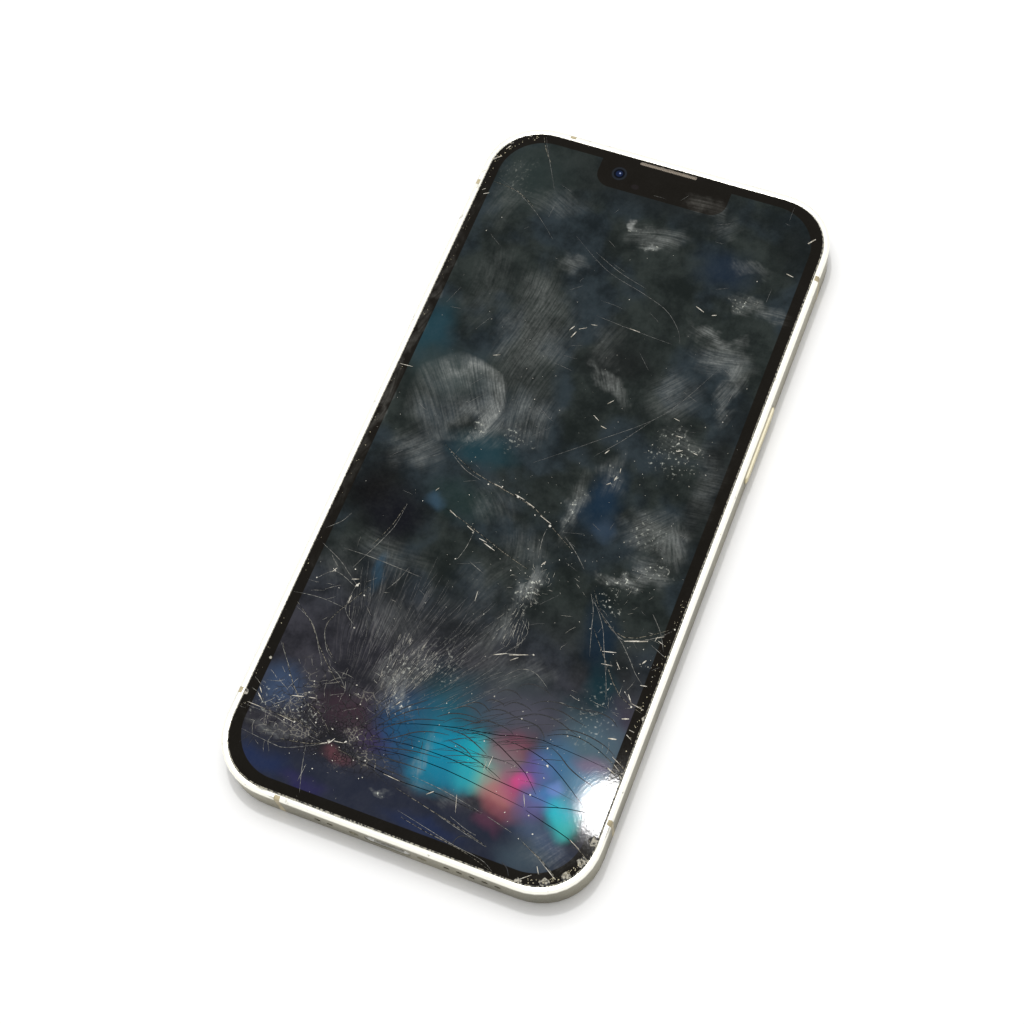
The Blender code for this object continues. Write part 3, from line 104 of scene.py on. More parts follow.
def anodised(name, wall, shade, edge, highlight_start, highlight_end):
    """Blasted and anodised aluminium: a dry satin sheen, slow drifts of tone, small scuffs, and a painted
    highlight that brightens it towards its top.
    """
    grit = 0.25 * MM  # the real blasting grit is about 0.05 mm; it is drawn coarser so that it shows
    surface, tree, shader, place = start_finish(name, metallic=1.0)
    grain = add(tree, "TexNoise", {"Vector": place, "Scale": 1 / grit})[0]
    drift = add(tree, "TexNoise", {"Vector": place, "Scale": 1 / (14 * MM)})[0]
    scuff = add(tree, "TexNoise", {"Vector": place, "Scale": 1 / (1.8 * MM), "Detail": 5.0})[0]
    height = add(tree, "SeparateXYZ", {"Vector": place})["Z"]
    toned = between(tree, drift, 0.3, 0.75, linear(wall), linear(shade))
    # Towards the top the colour goes to the edge colour: a painted highlight.
    highlighted = between(tree, height, highlight_start, highlight_end, toned, linear(edge))
    scuffed = between(tree, scuff, 0.66, 0.74, highlighted, linear("6F6A5C"), 0.5)
    finish_shader(tree, shader, scuffed, grain, 0.30, 0.46, grain, 0.004 * MM)
    return surface


def put_in_scene(name, shape, surface):
    """A piece in the scene, from its finished shape and its material."""
    mesh = bpy.data.meshes.new(name)
    shape.to_mesh(mesh)
    shape.free()
    mesh.materials.append(surface)
    piece = bpy.data.objects.new(name, mesh)
    bpy.context.scene.collection.objects.link(piece)
    return piece


def smooth_copy(node, name, body, surface):
    """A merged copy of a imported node, shaded smooth across its small facets, that stands for the node."""
    shape = bmesh.new()
    shape.from_mesh(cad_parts[node].data)
    bmesh.ops.remove_doubles(shape, verts=shape.verts, dist=MERGE)
    bmesh.ops.dissolve_limit(shape, angle_limit=FLAT_UNDER, verts=shape.verts, edges=shape.edges)
    piece = put_in_scene(name, shape, surface)
    piece.data.shade_smooth()
    piece.data.set_sharp_from_angle(angle=SMOOTH_UNDER)
    even = piece.modifiers.new("even_sheen", "WEIGHTED_NORMAL")
    even.keep_sharp = True
    even.weight = 100
    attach(piece, body)
    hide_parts(node)


FRAME_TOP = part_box("frame")[1].z
HIGHLIGHT_START = FRAME_TOP - 1.3 * MM
HIGHLIGHT_END = FRAME_TOP - 0.35 * MM
# The wall colour 96917E is a painted shade, darker than the pale champagne, and FFFDF2 at the front edge is a
# painted highlight.
frame_finish = anodised("anodised_aluminium_satin_painted_light", "96917E", "7C7868", "FFFDF2", HIGHLIGHT_START, HIGHLIGHT_END)
smooth_copy("frame", "side_frame", "case", frame_finish)


# Antenna bands: cream polymer shot into grooves across the frame before it is milled flush.
# The plastic is duller and yellower than the metal and holds a little dirt.


def moulded(name, colour, dirt, grain, smoothest, roughest):
    """Moulded plastic or rubber: an even colour broken by fine texture and by patches of dirt."""
    surface, tree, shader, place = start_finish(name)
    texture = add(tree, "TexNoise", {"Vector": place, "Scale": 1 / grain, "Detail": 3.0})[0]
    cloud = add(tree, "TexNoise", {"Vector": place, "Scale": 1 / (9 * grain), "Detail": 3.0})[0]
    soiled = between(tree, cloud, 0.4, 0.75, linear(colour), linear(dirt), 0.7)
    finish_shader(tree, shader, soiled, texture, smoothest, roughest, texture, 0.01 * MM)
    return surface


def paint(surface, *nodes):
    """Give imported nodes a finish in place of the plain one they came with."""
    for node in nodes:
        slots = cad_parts[node].data.materials
        slots.clear()
        slots.append(surface)


band_finish = moulded("antenna_band_polymer", "C2B592", "8D8066", 0.3 * MM, 0.45, 0.6)
paint(band_finish, *[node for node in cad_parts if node.startswith("antenna_band")])


# Buttons, mute slider and card tray: milled from the same aluminium and anodised with the frame.
# The faces of the buttons are coloured a little brighter and warmer than the wall, with a painted highlight
# along their tops.

BUTTON_HIGHLIGHT_START = 4.7 * MM
BUTTON_HIGHLIGHT_END = 5.1 * MM
# FFF6D8 towards the top of the buttons is a painted highlight.
button_finish = anodised("anodised_aluminium_painted_highlight", "C9BF9C", "B5AB88", "FFF6D8", BUTTON_HIGHLIGHT_START, BUTTON_HIGHLIGHT_END)
for node in ("power_button", "volume_up_button", "volume_down_button", "mute_slider"):
    smooth_copy(node, node + "_face", node, button_finish)
smooth_copy("card_tray", "card_tray_drawer", "card_tray", frame_finish)


# Chassis: a pressed steel plate, steel cans over the board, spring plates, switches and screws.
# Cold-rolled stainless sheet keeps the hair lines of its rolling, so its sheen is drawn out one way.


def rolled_steel(name, colour, shade, line, smoothest):
    """Cold-rolled stainless sheet: straight hair lines along one direction and a cloudy sheen."""
    surface, tree, shader, place = start_finish(name, metallic=1.0)
    drawn = {"Vector": place, "Scale": (25 * line, line, line)}
    lying = add(tree, "Mapping", drawn, vector_type="TEXTURE")[0]
    hair = add(tree, "TexNoise", {"Vector": lying, "Scale": 1.0, "Detail": 3.0})[0]
    cloud = add(tree, "TexNoise", {"Vector": place, "Scale": 1 / (6 * MM)})[0]
    toned = between(tree, cloud, 0.35, 0.7, linear(colour), linear(shade))
    finish_shader(tree, shader, toned, hair, smoothest, smoothest + 0.18, hair, 0.003 * MM)
    return surface


plate_finish = rolled_steel("rolled_stainless_plate", "9FA0A0", "7E8081", 0.12 * MM, 0.26)
can_finish = rolled_steel("pressed_steel_can", "B9B8B2", "9A9993", 0.08 * MM, 0.2)
screw_finish = rolled_steel("turned_steel_screw", "A9A6A0", "6D6A66", 0.05 * MM, 0.22)
paint(plate_finish, "chassis_plate", "display_back_plate", "camera_bracket", "connector_cover", "card_reader")
paint(can_finish, "board_shield_upper", "board_shield_lower", "vibration_motor", "magnet_ring")
paint(can_finish, "power_switch", "volume_up_switch", "volume_down_switch")
paint(screw_finish, *[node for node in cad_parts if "_screw_" in node])


# Logic board: green-black solder mask over fibreglass and copper, with fine traces under the mask.
# The mask is a glossy lacquer, so the traces show as slightly raised and paler lines.

TRACE_PITCH = 0.9 * MM
surface, tree, shader, place = start_finish("solder_mask_lacquer")
pads = {"Vector": place, "Scale": 0.33 / TRACE_PITCH}
pads = add(tree, "TexVoronoi", pads, feature="DISTANCE_TO_EDGE")["Distance"]
waves = {"Vector": place, "Scale": 0.3 / TRACE_PITCH, "Distortion": 1.5, "Detail": 1.0}
traces = add(tree, "TexWave", waves, bands_direction="DIAGONAL")["Fac"]
raised = add(tree, "Math", {0: traces, 1: pads}, operation="MULTIPLY")[0]
board_colour = between(tree, raised, 0.1, 0.3, linear("12271F"), linear("2C5140"))
finish_shader(tree, shader, board_colour, traces, 0.3, 0.42, raised, 0.03 * MM)
paint(surface, "logic_board")


# Battery: a lithium pouch wrapped in black printed film, on white stretch-release tape.
# The film is smooth with faint creases where it folds round the cell.

surface, tree, shader, place = start_finish("battery_pouch_film")
folds = {"Vector": place, "Scale": 1 / (9 * MM), "Detail": 3.0}
creases = add(tree, "TexNoise", folds, noise_type="RIDGED_MULTIFRACTAL")[0]
film_colour = between(tree, creases, 0.5, 1.3, linear("1B1C1F"), linear("2B2D31"))
finish_shader(tree, shader, film_colour, creases, 0.32, 0.5, creases, 0.05 * MM)
paint(surface, "battery")
tape_finish = moulded("white_tape_and_card", "DAD8D2", "B5B1A8", 0.4 * MM, 0.5, 0.65)
paint(tape_finish, "battery_adhesive", "phone_card")


# Modules, gaskets and flex: black polymer housings with a lightly sparked skin and a soft grey sheen,
# gaskets cut from black foam tape with a dry open face, and a flex of smooth amber polyimide film.

housing_finish = moulded("sparked_black_polymer", "1A1A1B", "2A2927", 0.2 * MM, 0.42, 0.6)
paint(housing_finish, "camera_module_main", "camera_module_wide", "front_camera", "face_sensor")
paint(housing_finish, "ear_speaker", "loudspeaker", "board_connector", "mute_switch_body")
foam_finish = moulded("black_foam_tape", "151515", "242321", 0.35 * MM, 0.75, 0.92)
paint(foam_finish, "display_gasket", "back_gasket")
flex_finish = moulded("polyimide_flex_film", "3B2413", "5A3A1E", 0.5 * MM, 0.3, 0.45)
paint(flex_finish, "port_flex")


# Charging coil and port contacts: enamelled copper wire wound flat in rings, and plated strips.
# Each turn is coloured light across it, a painted highlight, and dark between turns, a painted shade.

WIRE_PITCH = 0.6 * MM
BAND_WAVES = 0.314  # a wave texture makes 20 bands over 2 pi units, so this gives one band a unit
coil_low, coil_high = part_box("charging_coil")
surface, tree, shader, place = start_finish("enamelled_copper_wire", metallic=1.0)
centred = add(tree, "Mapping", {"Vector": place, "Location": -(coil_low + coil_high) / 2})[0]
rings = {"Vector": centred, "Scale": BAND_WAVES / WIRE_PITCH}
turns = add(tree, "TexWave", rings, wave_type="RINGS", rings_direction="Z")["Fac"]
# The rings of colour are a painted highlight on each turn and a painted shade between turns.
copper = between(tree, turns, 0.0, 1.0, linear("6B3219"), linear("C98255"))
finish_shader(tree, shader, copper, turns, 0.45, 0.25, turns, 0.1 * MM)
paint(surface, "charging_coil", "port_contacts")


# Charging port: a drawn steel shell set in the frame's slot, its lip just behind the wall.
# Its round ends catch one clean line of light.

smooth_copy("port_shell", "port_shell_lip", "case", can_finish)


# Dust meshes: woven steel cloth behind the speaker holes, the microphone holes and the ear slot.
# The weave is 0.2 mm, drawn at 0.35 mm so that it shows, and the ear slot's is clogged with grey dust.


def woven(name, wire, painted_gap_shade, dust, dust_share):
    """Woven wire cloth: crossing ridges of wire, holes between them painted dark as shade, and dust caught in
    it.
    """
    pitch = 0.35 * MM
    surface, tree, shader, place = start_finish(name, metallic=0.6)
    bands = {"Vector": place, "Scale": BAND_WAVES / pitch}
    weft = add(tree, "TexWave", bands, bands_direction="X")["Fac"]
    warp = add(tree, "TexWave", bands, bands_direction="Y")["Fac"]
    weave = add(tree, "Math", {0: weft, 1: warp}, operation="MAXIMUM")[0]
    caught = add(tree, "TexNoise", {"Vector": place, "Scale": 1 / (0.8 * MM), "Detail": 4.0})[0]
    # The holes between the wires are a painted shade.
    cloth = between(tree, weave, 0.3, 0.8, linear(painted_gap_shade), linear(wire))
    dusty = between(tree, caught, 0.35, 0.65, cloth, linear(dust), dust_share)
    finish_shader(tree, shader, dusty, caught, 0.4, 0.8, weave, 0.05 * MM)
    return surface


paint(woven("woven_steel_cloth", "6E6C66", "0E0E0E", "4A4640", 0.4), "speaker_mesh", "microphone")
paint(woven("dusty_steel_cloth", "8F8578", "3A342E", "9A8F82", 0.8), "ear_mesh")


# Back glass: toughened sheet with cream ink on its inner face, and a flush black camera window with its
# lens covers, their rings and the flash lens.  The photo does not show the back: it is finished plainly,
# with the light hairline wear of a used phone.

surface, tree, shader, place = start_finish("cream_backed_glass")
shader.inputs["IOR"].default_value = 1.5
drawn = {"Vector": place, "Rotation": (0, 0, math.radians(35)), "Scale": (9 * MM, 0.12 * MM, 1.0)}
lying = add(tree, "Mapping", drawn, vector_type="TEXTURE")[0]
wear = add(tree, "TexNoise", {"Vector": lying, "Scale": 1.0, "Detail": 4.0})[0]
tone = add(tree, "TexNoise", {"Vector": place, "Scale": 1 / (25 * MM)})[0]
cream = between(tree, tone, 0.35, 0.7, linear("EFEADB"), linear("E4DDCB"))
cream = between(tree, wear, 0.66, 0.76, cream, linear("C9C2B2"), 0.3)
finish_shader(tree, shader, cream, wear, 0.05, 0.22, wear, -0.002 * MM)
smooth_copy("back_glass", "back_glass_sheet", "case", surface)


def coated_glass(name, colour, tint, smoothest):
    """Coated optical glass: near black with a tint that drifts across it, and a trace of grease."""
    surface, tree, shader, place = start_finish(name)
    shader.inputs["IOR"].default_value = 1.52
    drift = add(tree, "TexNoise", {"Vector": place, "Scale": 1 / (4 * MM)})[0]
    tinted = between(tree, drift, 0.35, 0.7, linear(colour), linear(tint))
    finish_shader(tree, shader, tinted, drift, smoothest, smoothest + 0.1, drift, 0.002 * MM)
    return surface


pane_finish = coated_glass("black_backed_pane", "0D0D0E", "141416", 0.06)
lens_finish = coated_glass("coated_lens", "07080D", "17143A", 0.03)
flash_finish = coated_glass("frosted_flash_lens", "E9E2C8", "D8CFA8", 0.25)
smooth_copy("camera_window", "camera_window_pane", "case", pane_finish)
smooth_copy("flash_lens", "flash_window", "case", flash_finish)
for lens in ("main", "wide"):
    smooth_copy("camera_ring_" + lens, "lens_ring_" + lens, "case", can_finish)
    smooth_copy("camera_lens_" + lens, "lens_cover_" + lens, "case", lens_finish)


# Display panel: the stack of layers under the front glass, a dark laminate with a fine grid of cells.
# Almost none of it shows by itself, because the front glass is bonded over it.

surface, tree, shader, place = start_finish("display_laminate")
cells = add(tree, "TexVoronoi", {"Vector": place, "Scale": 1 / (0.3 * MM), "Randomness": 0.0})["Distance"]
laminate = between(tree, cells, 0.0, 0.7, linear("11171C"), linear("05070A"))
finish_shader(tree, shader, laminate, cells, 0.12, 0.3, cells, 0.002 * MM)
paint(surface, "display_panel")


# Front glass: toughened sheet bonded to the display, printed black round its edge, and shattered.
# Through it shows the display, dark, with colour fields; the bright ones round the lower right are a painted
# reflection of the sun, split by its cells.  Over it lies a film of grease and glass dust, in strokes and
# prints.
# The main cracks are cut in the imported sheet.

GLASS_MIRROR = 0.0055  # what this old coated face mirrors, taken off the colours seen through it
FULL_SPECULAR = 0.08  # what the shader mirrors at a specular level of 1
SCREEN_HALF = (32.35 * MM, 70.1 * MM)
SCREEN_CORNER = 9.0 * MM
NOTCH_HALF = (13.5 * MM, 6.2 * MM)
NOTCH_CENTRE = (0.1 * MM, 70.2 * MM)
NOTCH_CORNER = 3.2 * MM
GLASS_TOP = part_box("cover_glass")[1].z
UPPER_END = -20 * MM
LOWER_START = -45 * MM
NAVY_START = -61.5 * MM
NAVY_FULL = -65.5 * MM
IMPACT = (-16.3, -60.5)
RIDGES_A_TURN = 480
RIDGE_LENGTH = 9 * MM
WEB_CELLS = 6.5  # cells to a radian round the impact, and to each e-fold of the distance from it
STROKE_SIZE = (6 * MM, 0.45 * MM, 1.0)
FLAT_NOISE = {"noise_dimensions": "2D"}

# Single patches in millimetres: place, half width, half height and, where it has one, turn
EYE = (-9.04, 67.6, 1.6, 1.6)
EYE_PAINTED_HIGHLIGHT = (-8.92, 67.72, 0.32, 0.32)
SENSOR_DOT = (-5.0, 65.6, 1.1, 0.8)
PRINT_DISC = (-21.2, 10.2, 10.2, 10.0)
WIPED = (-17, 4.6, 2.6, 5.5, -30)

# Soft fields of the display in millimetres: place, half width, half height, turn, colour, strength
# The bright coloured fields round the lower right are a painted reflection of the sun, split by the display's
# cells.
FIELDS_AND_PAINTED_GLOW = [
    (0, 66, 28, 9, 0, "1A1E1F", 0.85),
    (-26, 61, 12, 12, 0, "2A3433", 0.7),
    (30, 62, 8, 10, 0, "151919", 0.8),
    (18, 53, 9, 7, 0, "1B2736", 0.8),
    (-31, 22, 7, 10, 0, "1E3C46", 0.85),
    (-24, 15, 12, 8, 0, "36413F", 0.6),
    (-28, -12, 9, 12, 0, "020912", 1.0),
    (-22, -16, 8, 9, 0, "0A1118", 0.9),
    (-12, 2, 10, 5, 0, "1C3C46", 0.7),
    (-12, -9, 10, 6, 0, "223331", 0.6),
    (-16.5, -11.6, 2.4, 2.0, 0, "3C566A", 0.5),
    (-20.5, -27.5, 1.7, 5.5, 0, "2C4658", 0.7),
    (13, 0, 5, 9, 0, "142A3E", 0.8),
    (15, -6.5, 3.4, 3.4, 0, "2E3E50", 0.7),
    (6, 28, 10, 7, 0, "171919", 0.7),
    (31, 10, 5, 30, 0, "161818", 0.7),
    (21.5, -26, 4.2, 10, 25, "0A2230", 0.95),
    (26, -35, 4.5, 7, 20, "143038", 0.8),
    (24, -41, 7, 6, 0, "2C4248", 0.5),
    (12, -41, 10, 7, 0, "2E3A3A", 0.6),
    (1, -45, 11, 8, 0, "28424A", 0.7),
    (30, -41, 6, 7, 0, "463F50", 0.5),
    (27, -45, 9, 8, 0, "4C6470", 0.85),
    (14, -45, 13, 8, 0, "4A4A55", 0.85),
    (-29, -54, 7, 6, 0, "3C4C66", 0.8),
    (-15, -54, 10, 6, 0, "3E2D36", 0.7),
    (-8, -57.5, 5, 4, 0, "3C2440", 0.8),
    (-14, -62.3, 4.5, 2, -8, "5E3C42", 0.8),
    (-27, -68, 8, 3.8, 0, "1F2B4C", 0.8),
    (-18, -68.8, 7, 2.6, 0, "2C2850", 0.7),
    (5, -68.6, 11, 2.4, -3, "1E2C50", 0.5),
    (-4, -54, 9.1, 10.4, 20, "1A4A78", 0.64),
    (3, -52.5, 13.0, 11.1, 0, "1C6074", 0.74),
    (4.5, -55.6, 8.1, 8.1, 0, "0A829E", 0.92),
    (4.5, -59.2, 8.1, 5.5, 0, "147490", 0.74),
    (9, -54.5, 4.9, 6.5, 0, "20A2AE", 0.83),
    (9, -58.4, 4.9, 4.2, 0, "2A9AA6", 0.74),
    (12.6, -56.4, 4.7, 5.7, 0, "6AAA9A", 0.78),
    (12.2, -52.3, 4.4, 4.2, 0, "5A8680", 0.55),
    (15, -50.4, 5.7, 4.7, 20, "7E4656", 0.64),
    (15.4, -53.4, 4.9, 4.7, 0, "7E7478", 0.64),
    (16.2, -58.6, 5.7, 5.2, -20, "A86E6E", 0.83),
    (17.4, -61.6, 4.7, 3.4, 0, "7C3E48", 0.64),
    (18.4, -56, 4.4, 4.2, 0, "A8487A", 0.55),
    (18.6, -54.9, 2.2, 2.2, 0, "C4487E", 0.85),
    (20.4, -52.2, 4.2, 4.2, 0, "6E4896", 0.74),
    (22.8, -50.8, 6.2, 7.0, -20, "3F7096", 0.74),
    (23.4, -57, 5.2, 4.4, 0, "4A7CB4", 0.78),
    (24.3, -54.6, 2.4, 2.4, 0, "6C86C4", 0.74),
    (21.4, -59.6, 4.2, 3.6, 0, "6E5C8C", 0.55),
    (27.4, -58.4, 4.7, 5.1, 0, "2AB6C4", 0.87),
    (28.6, -60.8, 3.4, 3.4, 0, "3EA8A0", 0.64),
    (28.5, -52.5, 5.7, 7.0, 0, "5C88A4", 0.74),
    (28.6, -48.4, 4.2, 3.1, 0, "8A5672", 0.41),
    (24, -63.2, 9.1, 3.9, -15, "4A5E7A", 0.55),
    (15.5, -64.8, 3.8, 2, 0, "5C3448", 0.6),
    (24, -67.6, 8, 4.2, 0, "44545E", 0.6),
]

# Films by the heading of their strokes in degrees: place, half width, half height, turn, strength
FILMS = {
    88: [
        (-11.5, 27, 9.5, 18, 5, 0.36),
        (-15, 38, 6, 7, 0, 0.16),
        (-6, 11, 7, 9, 0, 0.4),
        (27.5, 28, 2.6, 11, 0, 0.5),
        (2, 31, 4, 7, 0, 0.2),
        (8.3, -4, 2.4, 9, 0, 0.6),
        (13, 5, 3, 7, 0, 0.3),
        (0.8, -57, 1.6, 7, 0, 0.4),
        (6.6, -20.6, 2.6, 4.4, 0, 0.8),
        (11.6, -54.6, 1.6, 3.6, 0, 0.5),
        (-9, -44.5, 6, 8, -15, 0.44),
        (-7.5, -49, 3, 3, 0, 0.5),
        (5, -29, 3, 9, -12, 0.34),
        (-24, 36, 6, 14, 0, 0.12),
        (-28, 56, 5, 12, 0, 0.14),
        (6, -37, 8, 7, -35, 0.14),
        (-33.8, 15, 1.6, 50, 0, 0.4),
    ],
    172: [
        (3, 55.6, 8, 3.6, 15, 0.5),
        (-1.8, 57.3, 2.4, 1.3, -15, 0.9),
        (2.8, 53.5, 3.2, 1.2, 15, 0.85),
        (27, 47.2, 8, 2.4, -8, 0.5),
        (22.5, 54.5, 5, 2, 0, 0.3),
        (21.5, 38.4, 8, 1.9, -4, 0.6),
        (24, 34.4, 8, 5, 0, 0.5),
        (-20, 57, 11, 4, 10, 0.22),
        (-10.5, 45, 5, 3, 0, 0.5),
        (23, 15, 7, 5, 0, 0.3),
        (26, -11.5, 5, 4, -10, 0.65),
        (21.5, -14.6, 4.5, 1.8, 0, 0.8),
        (-21, -23.5, 12, 4, 0, 0.2),
        (-27, -61.8, 8, 1.6, 0, 0.3),
        (-3.6, -65.6, 2.2, 1.1, 10, 1.0),
        (30, 8, 4, 12, 0, 0.2),
        (5, -62.5, 10, 2, 0, 0.2),
        (10, 66, 5, 3, 0, 0.5),
    ],
    50: [
        (-15, 7, 7, 7, 50, 0.5),
        (22.5, -3.5, 6.5, 6, 0, 0.5),
        (-24, -2, 7, 6, 0, 0.42),
        (18, 24, 7, 7, 0, 0.3),
        (13, -36, 6, 4, 20, 0.25),
        (27, -66, 6, 5, 0, 0.12),
        (0, -22, 8, 8, 0, 0.14),
        (15, 62, 4, 4, 0, 0.2),
    ],
    128: [
        (6, 22.5, 8, 2.0, -36, 0.6),
        (-21, 16.5, 6, 3, 20, 0.45),
        (28, -5, 4, 6, 0, 0.45),
        (3, -14, 6, 6, 0, 0.22),
        (-28, -29, 6, 4, 0, 0.16),
        (-6, -8, 7, 5, 0, 0.2),
        (-14, -36, 8, 6, 0, 0.2),
    ],
}

# Patches of bright grit, in the same form: place, half width, half height, turn, strength
GRITS = [
    (7, -20.2, 2.6, 3.4, 0, 1.0),
    (6.2, -24, 2.6, 5, -10, 0.7),
    (21.4, -14.6, 4.2, 1.6, 0, 1.0),
    (21.4, -18.8, 3.6, 3.2, -30, 1.0),
    (-9.5, -43.5, 5, 5.5, 20, 0.8),
    (-7.2, -49.3, 3.4, 3, 0, 0.9),
    (8.4, -4.2, 1.5, 6, 0, 0.8),
    (22, 13, 6, 6, 0, 0.7),
    (-7, 6, 4, 4, 0, 0.6),
    (13.3, 4.5, 1.6, 3.4, 0, 0.8),
    (-23, -57, 6, 4, 0, 0.6),
    (-30, -57.5, 4, 3.4, 0, 0.7),
    (23, -4, 4, 5, 0, 0.5),
    (-1, 56.6, 2.2, 1.2, 0, 1.0),
    (2.6, 53.6, 3.4, 1.2, 10, 0.9),
    (24, 47.6, 4, 1.6, 0, 0.6),
    (27, -10.5, 4, 2.6, 0, 0.7),
    (-3.6, -65.6, 2, 1, 0, 1.0),
    (-3, -40, 6, 6, 0, 0.4),
    (26, -40, 5, 8, 0, 0.3),
    (-28, 60, 5, 8, 0, 0.12),
    (-14.5, 6, 2, 5, 0, 0.6),
]


def seen(code):
    """Linear colour under the glass, less what the glass mirrors."""
    return (*[max(channel - GLASS_MIRROR, 0.0) for channel in linear(code)[:3]], 1.0)


def bent(tree, vector, size, reach, detail=3.0):
    """Coordinates pushed about by noise, so that what reads them loses its even outline."""
    push = add(tree, "TexNoise", {"Vector": vector, "Scale": 1 / size, "Detail": detail}, **FLAT_NOISE)[1]
    push = add(tree, "VectorMath", {0: push, 1: (0.5, 0.5, 0.5)}, operation="SUBTRACT")[0]
    return add(tree, "VectorMath", {0: push, 1: (reach, reach, 0), 2: vector}, operation="MULTIPLY_ADD")[0]


def patch(tree, vector, x, y, across, along, turn=0):
    """A soft patch on the glass, 1 at its middle and 0 at its edge, with sizes in millimetres."""
    lying = {
        "Vector": vector,
        "Location": (x * MM, y * MM, 0),
        "Rotation": (0, 0, math.radians(turn)),
        "Scale": (across * MM, along * MM, 1.0),
    }
    placed = add(tree, "Mapping", lying, vector_type="TEXTURE")[0]
    return add(tree, "TexGradient", {"Vector": placed}, gradient_type="SPHERICAL")["Fac"]


def patches(tree, vector, rows, veil=0.0):
    """The sum of many patches, each with its strength, over an even veil."""
    total = veil
    for *where, strength in rows:
        near = patch(tree, vector, *where)
        share = add(tree, "MapRange", {0: near, 1: 0.0, 2: 0.95, 3: 0.0, 4: 1.4 * strength}, **SOFT)[0]
        total = add(tree, "Math", {0: total, 1: share}, operation="ADD")[0]
    return total


def strokes(tree, vector, heading):
    """Streaks along a heading, as a thumb or a cloth leaves them, some broad and some fine."""
    lying = {"Vector": vector, "Rotation": (0, 0, math.radians(heading)), "Scale": STROKE_SIZE}
    placed = add(tree, "Mapping", lying, vector_type="TEXTURE")[0]
    streaks = {"Vector": placed, "Scale": 1.0, "Detail": 5.0, "Roughness": 0.66}
    streaks = add(tree, "TexNoise", streaks, **FLAT_NOISE)[0]
    return add(tree, "MapRange", {0: streaks, 1: 0.32, 2: 0.7, 3: 0.2, 4: 1.1})[0]


def inside(tree, vector, centre, half, corner):
    """Signed distance to a rounded rectangle on the glass, below 0 inside it."""
    moved = add(tree, "VectorMath", {0: vector, 1: (*centre, 0)}, operation="SUBTRACT")[0]
    folded = add(tree, "VectorMath", {0: moved}, operation="ABSOLUTE")[0]
    past = {0: folded, 1: (half[0] - corner, half[1] - corner, 1.0)}
    past = add(tree, "VectorMath", past, operation="SUBTRACT")[0]
    outer = add(tree, "VectorMath", {0: past, 1: (0, 0, 0)}, operation="MAXIMUM")[0]
    length = add(tree, "VectorMath", {0: outer}, operation="LENGTH")["Value"]
    axes = add(tree, "SeparateXYZ", {"Vector": past})
    nearer = add(tree, "Math", {0: axes["X"], 1: axes["Y"]}, operation="MAXIMUM")[0]
    inner = add(tree, "Math", {0: nearer, 1: 0.0}, operation="MINIMUM")[0]
    reach = add(tree, "Math", {0: length, 1: inner}, operation="ADD")[0]
    return add(tree, "Math", {0: reach, 1: corner}, operation="SUBTRACT")[0]


def overlap(tree, edges, **settings):
    """A share that is 1 only where every pattern is past its edge, given as a start and an end value."""
    total = 1.0
    for pattern, start, end in edges:
        past = add(tree, "MapRange", {0: pattern, 1: start, 2: end}, **settings)[0]
        total = add(tree, "Math", {0: total, 1: past}, operation="MULTIPLY")[0]
    return total


surface, tree, shader, place = start_finish("toughened_glass_bonded")
shader.inputs["IOR"].default_value = 1.5
shader.inputs["Specular IOR Level"].default_value = GLASS_MIRROR / FULL_SPECULAR
flat = add(tree, "VectorMath", {0: place, 1: (1, 1, 0)}, operation="MULTIPLY")[0]
axes = add(tree, "SeparateXYZ", {"Vector": place})
mottle = {"Vector": flat, "Scale": 1 / (7 * MM), "Detail": 8.0, "Roughness": 0.68}
mottle = add(tree, "TexNoise", mottle, **FLAT_NOISE)[0]
grain = add(tree, "TexNoise", {"Vector": flat, "Scale": 1 / (0.5 * MM)}, **FLAT_NOISE)[0]

# The display, dark green-grey above and plum-grey below, with its colour fields
green = between(tree, mottle, 0.3, 0.7, seen("1A1F1E"), seen("2B312F"))
slate = between(tree, mottle, 0.3, 0.7, seen("191F22"), seen("2A3338"))
hue = add(tree, "TexNoise", {"Vector": flat, "Scale": 1 / (15 * MM), "Detail": 3.0}, **FLAT_NOISE)[0]
upper = between(tree, hue, 0.42, 0.6, green, slate)
lower = between(tree, mottle, 0.3, 0.7, seen("222227"), seen("38373E"))
colour = between(tree, axes["Y"], UPPER_END, LOWER_START, upper, lower)
colour = between(tree, axes["Y"], NAVY_START, NAVY_FULL, colour, seen("242938"), 0.8)
field_place = bent(tree, flat, 9 * MM, 5 * MM)
# The fields give the display's tones and, round the lower right, the painted reflection of the sun.
for *where, code, strength in FIELDS_AND_PAINTED_GLOW:
    near = patch(tree, field_place, *where)
    colour = between(tree, near, 0.0, 0.85, colour, seen(code), strength)

# Fine ridges that fan up from the impact, each a pale and a dark line
from_impact = {0: bent(tree, flat, 6 * MM, 1.2 * MM), 1: (IMPACT[0] * MM, IMPACT[1] * MM, 0)}
from_impact = add(tree, "VectorMath", from_impact, operation="SUBTRACT")[0]
turned = add(tree, "TexGradient", {"Vector": from_impact}, gradient_type="RADIAL")["Fac"]
radius = add(tree, "VectorMath", {0: from_impact}, operation="LENGTH")["Value"]
polar = add(tree, "CombineXYZ", {"X": turned, "Y": radius})[0]
ridge_scale = (RIDGES_A_TURN, 1 / RIDGE_LENGTH, 0)
ridge_place = add(tree, "VectorMath", {0: polar, 1: ridge_scale}, operation="MULTIPLY")[0]
ridges = add(tree, "TexNoise", {"Vector": ridge_place, "Scale": 1.0}, **FLAT_NOISE)[0]

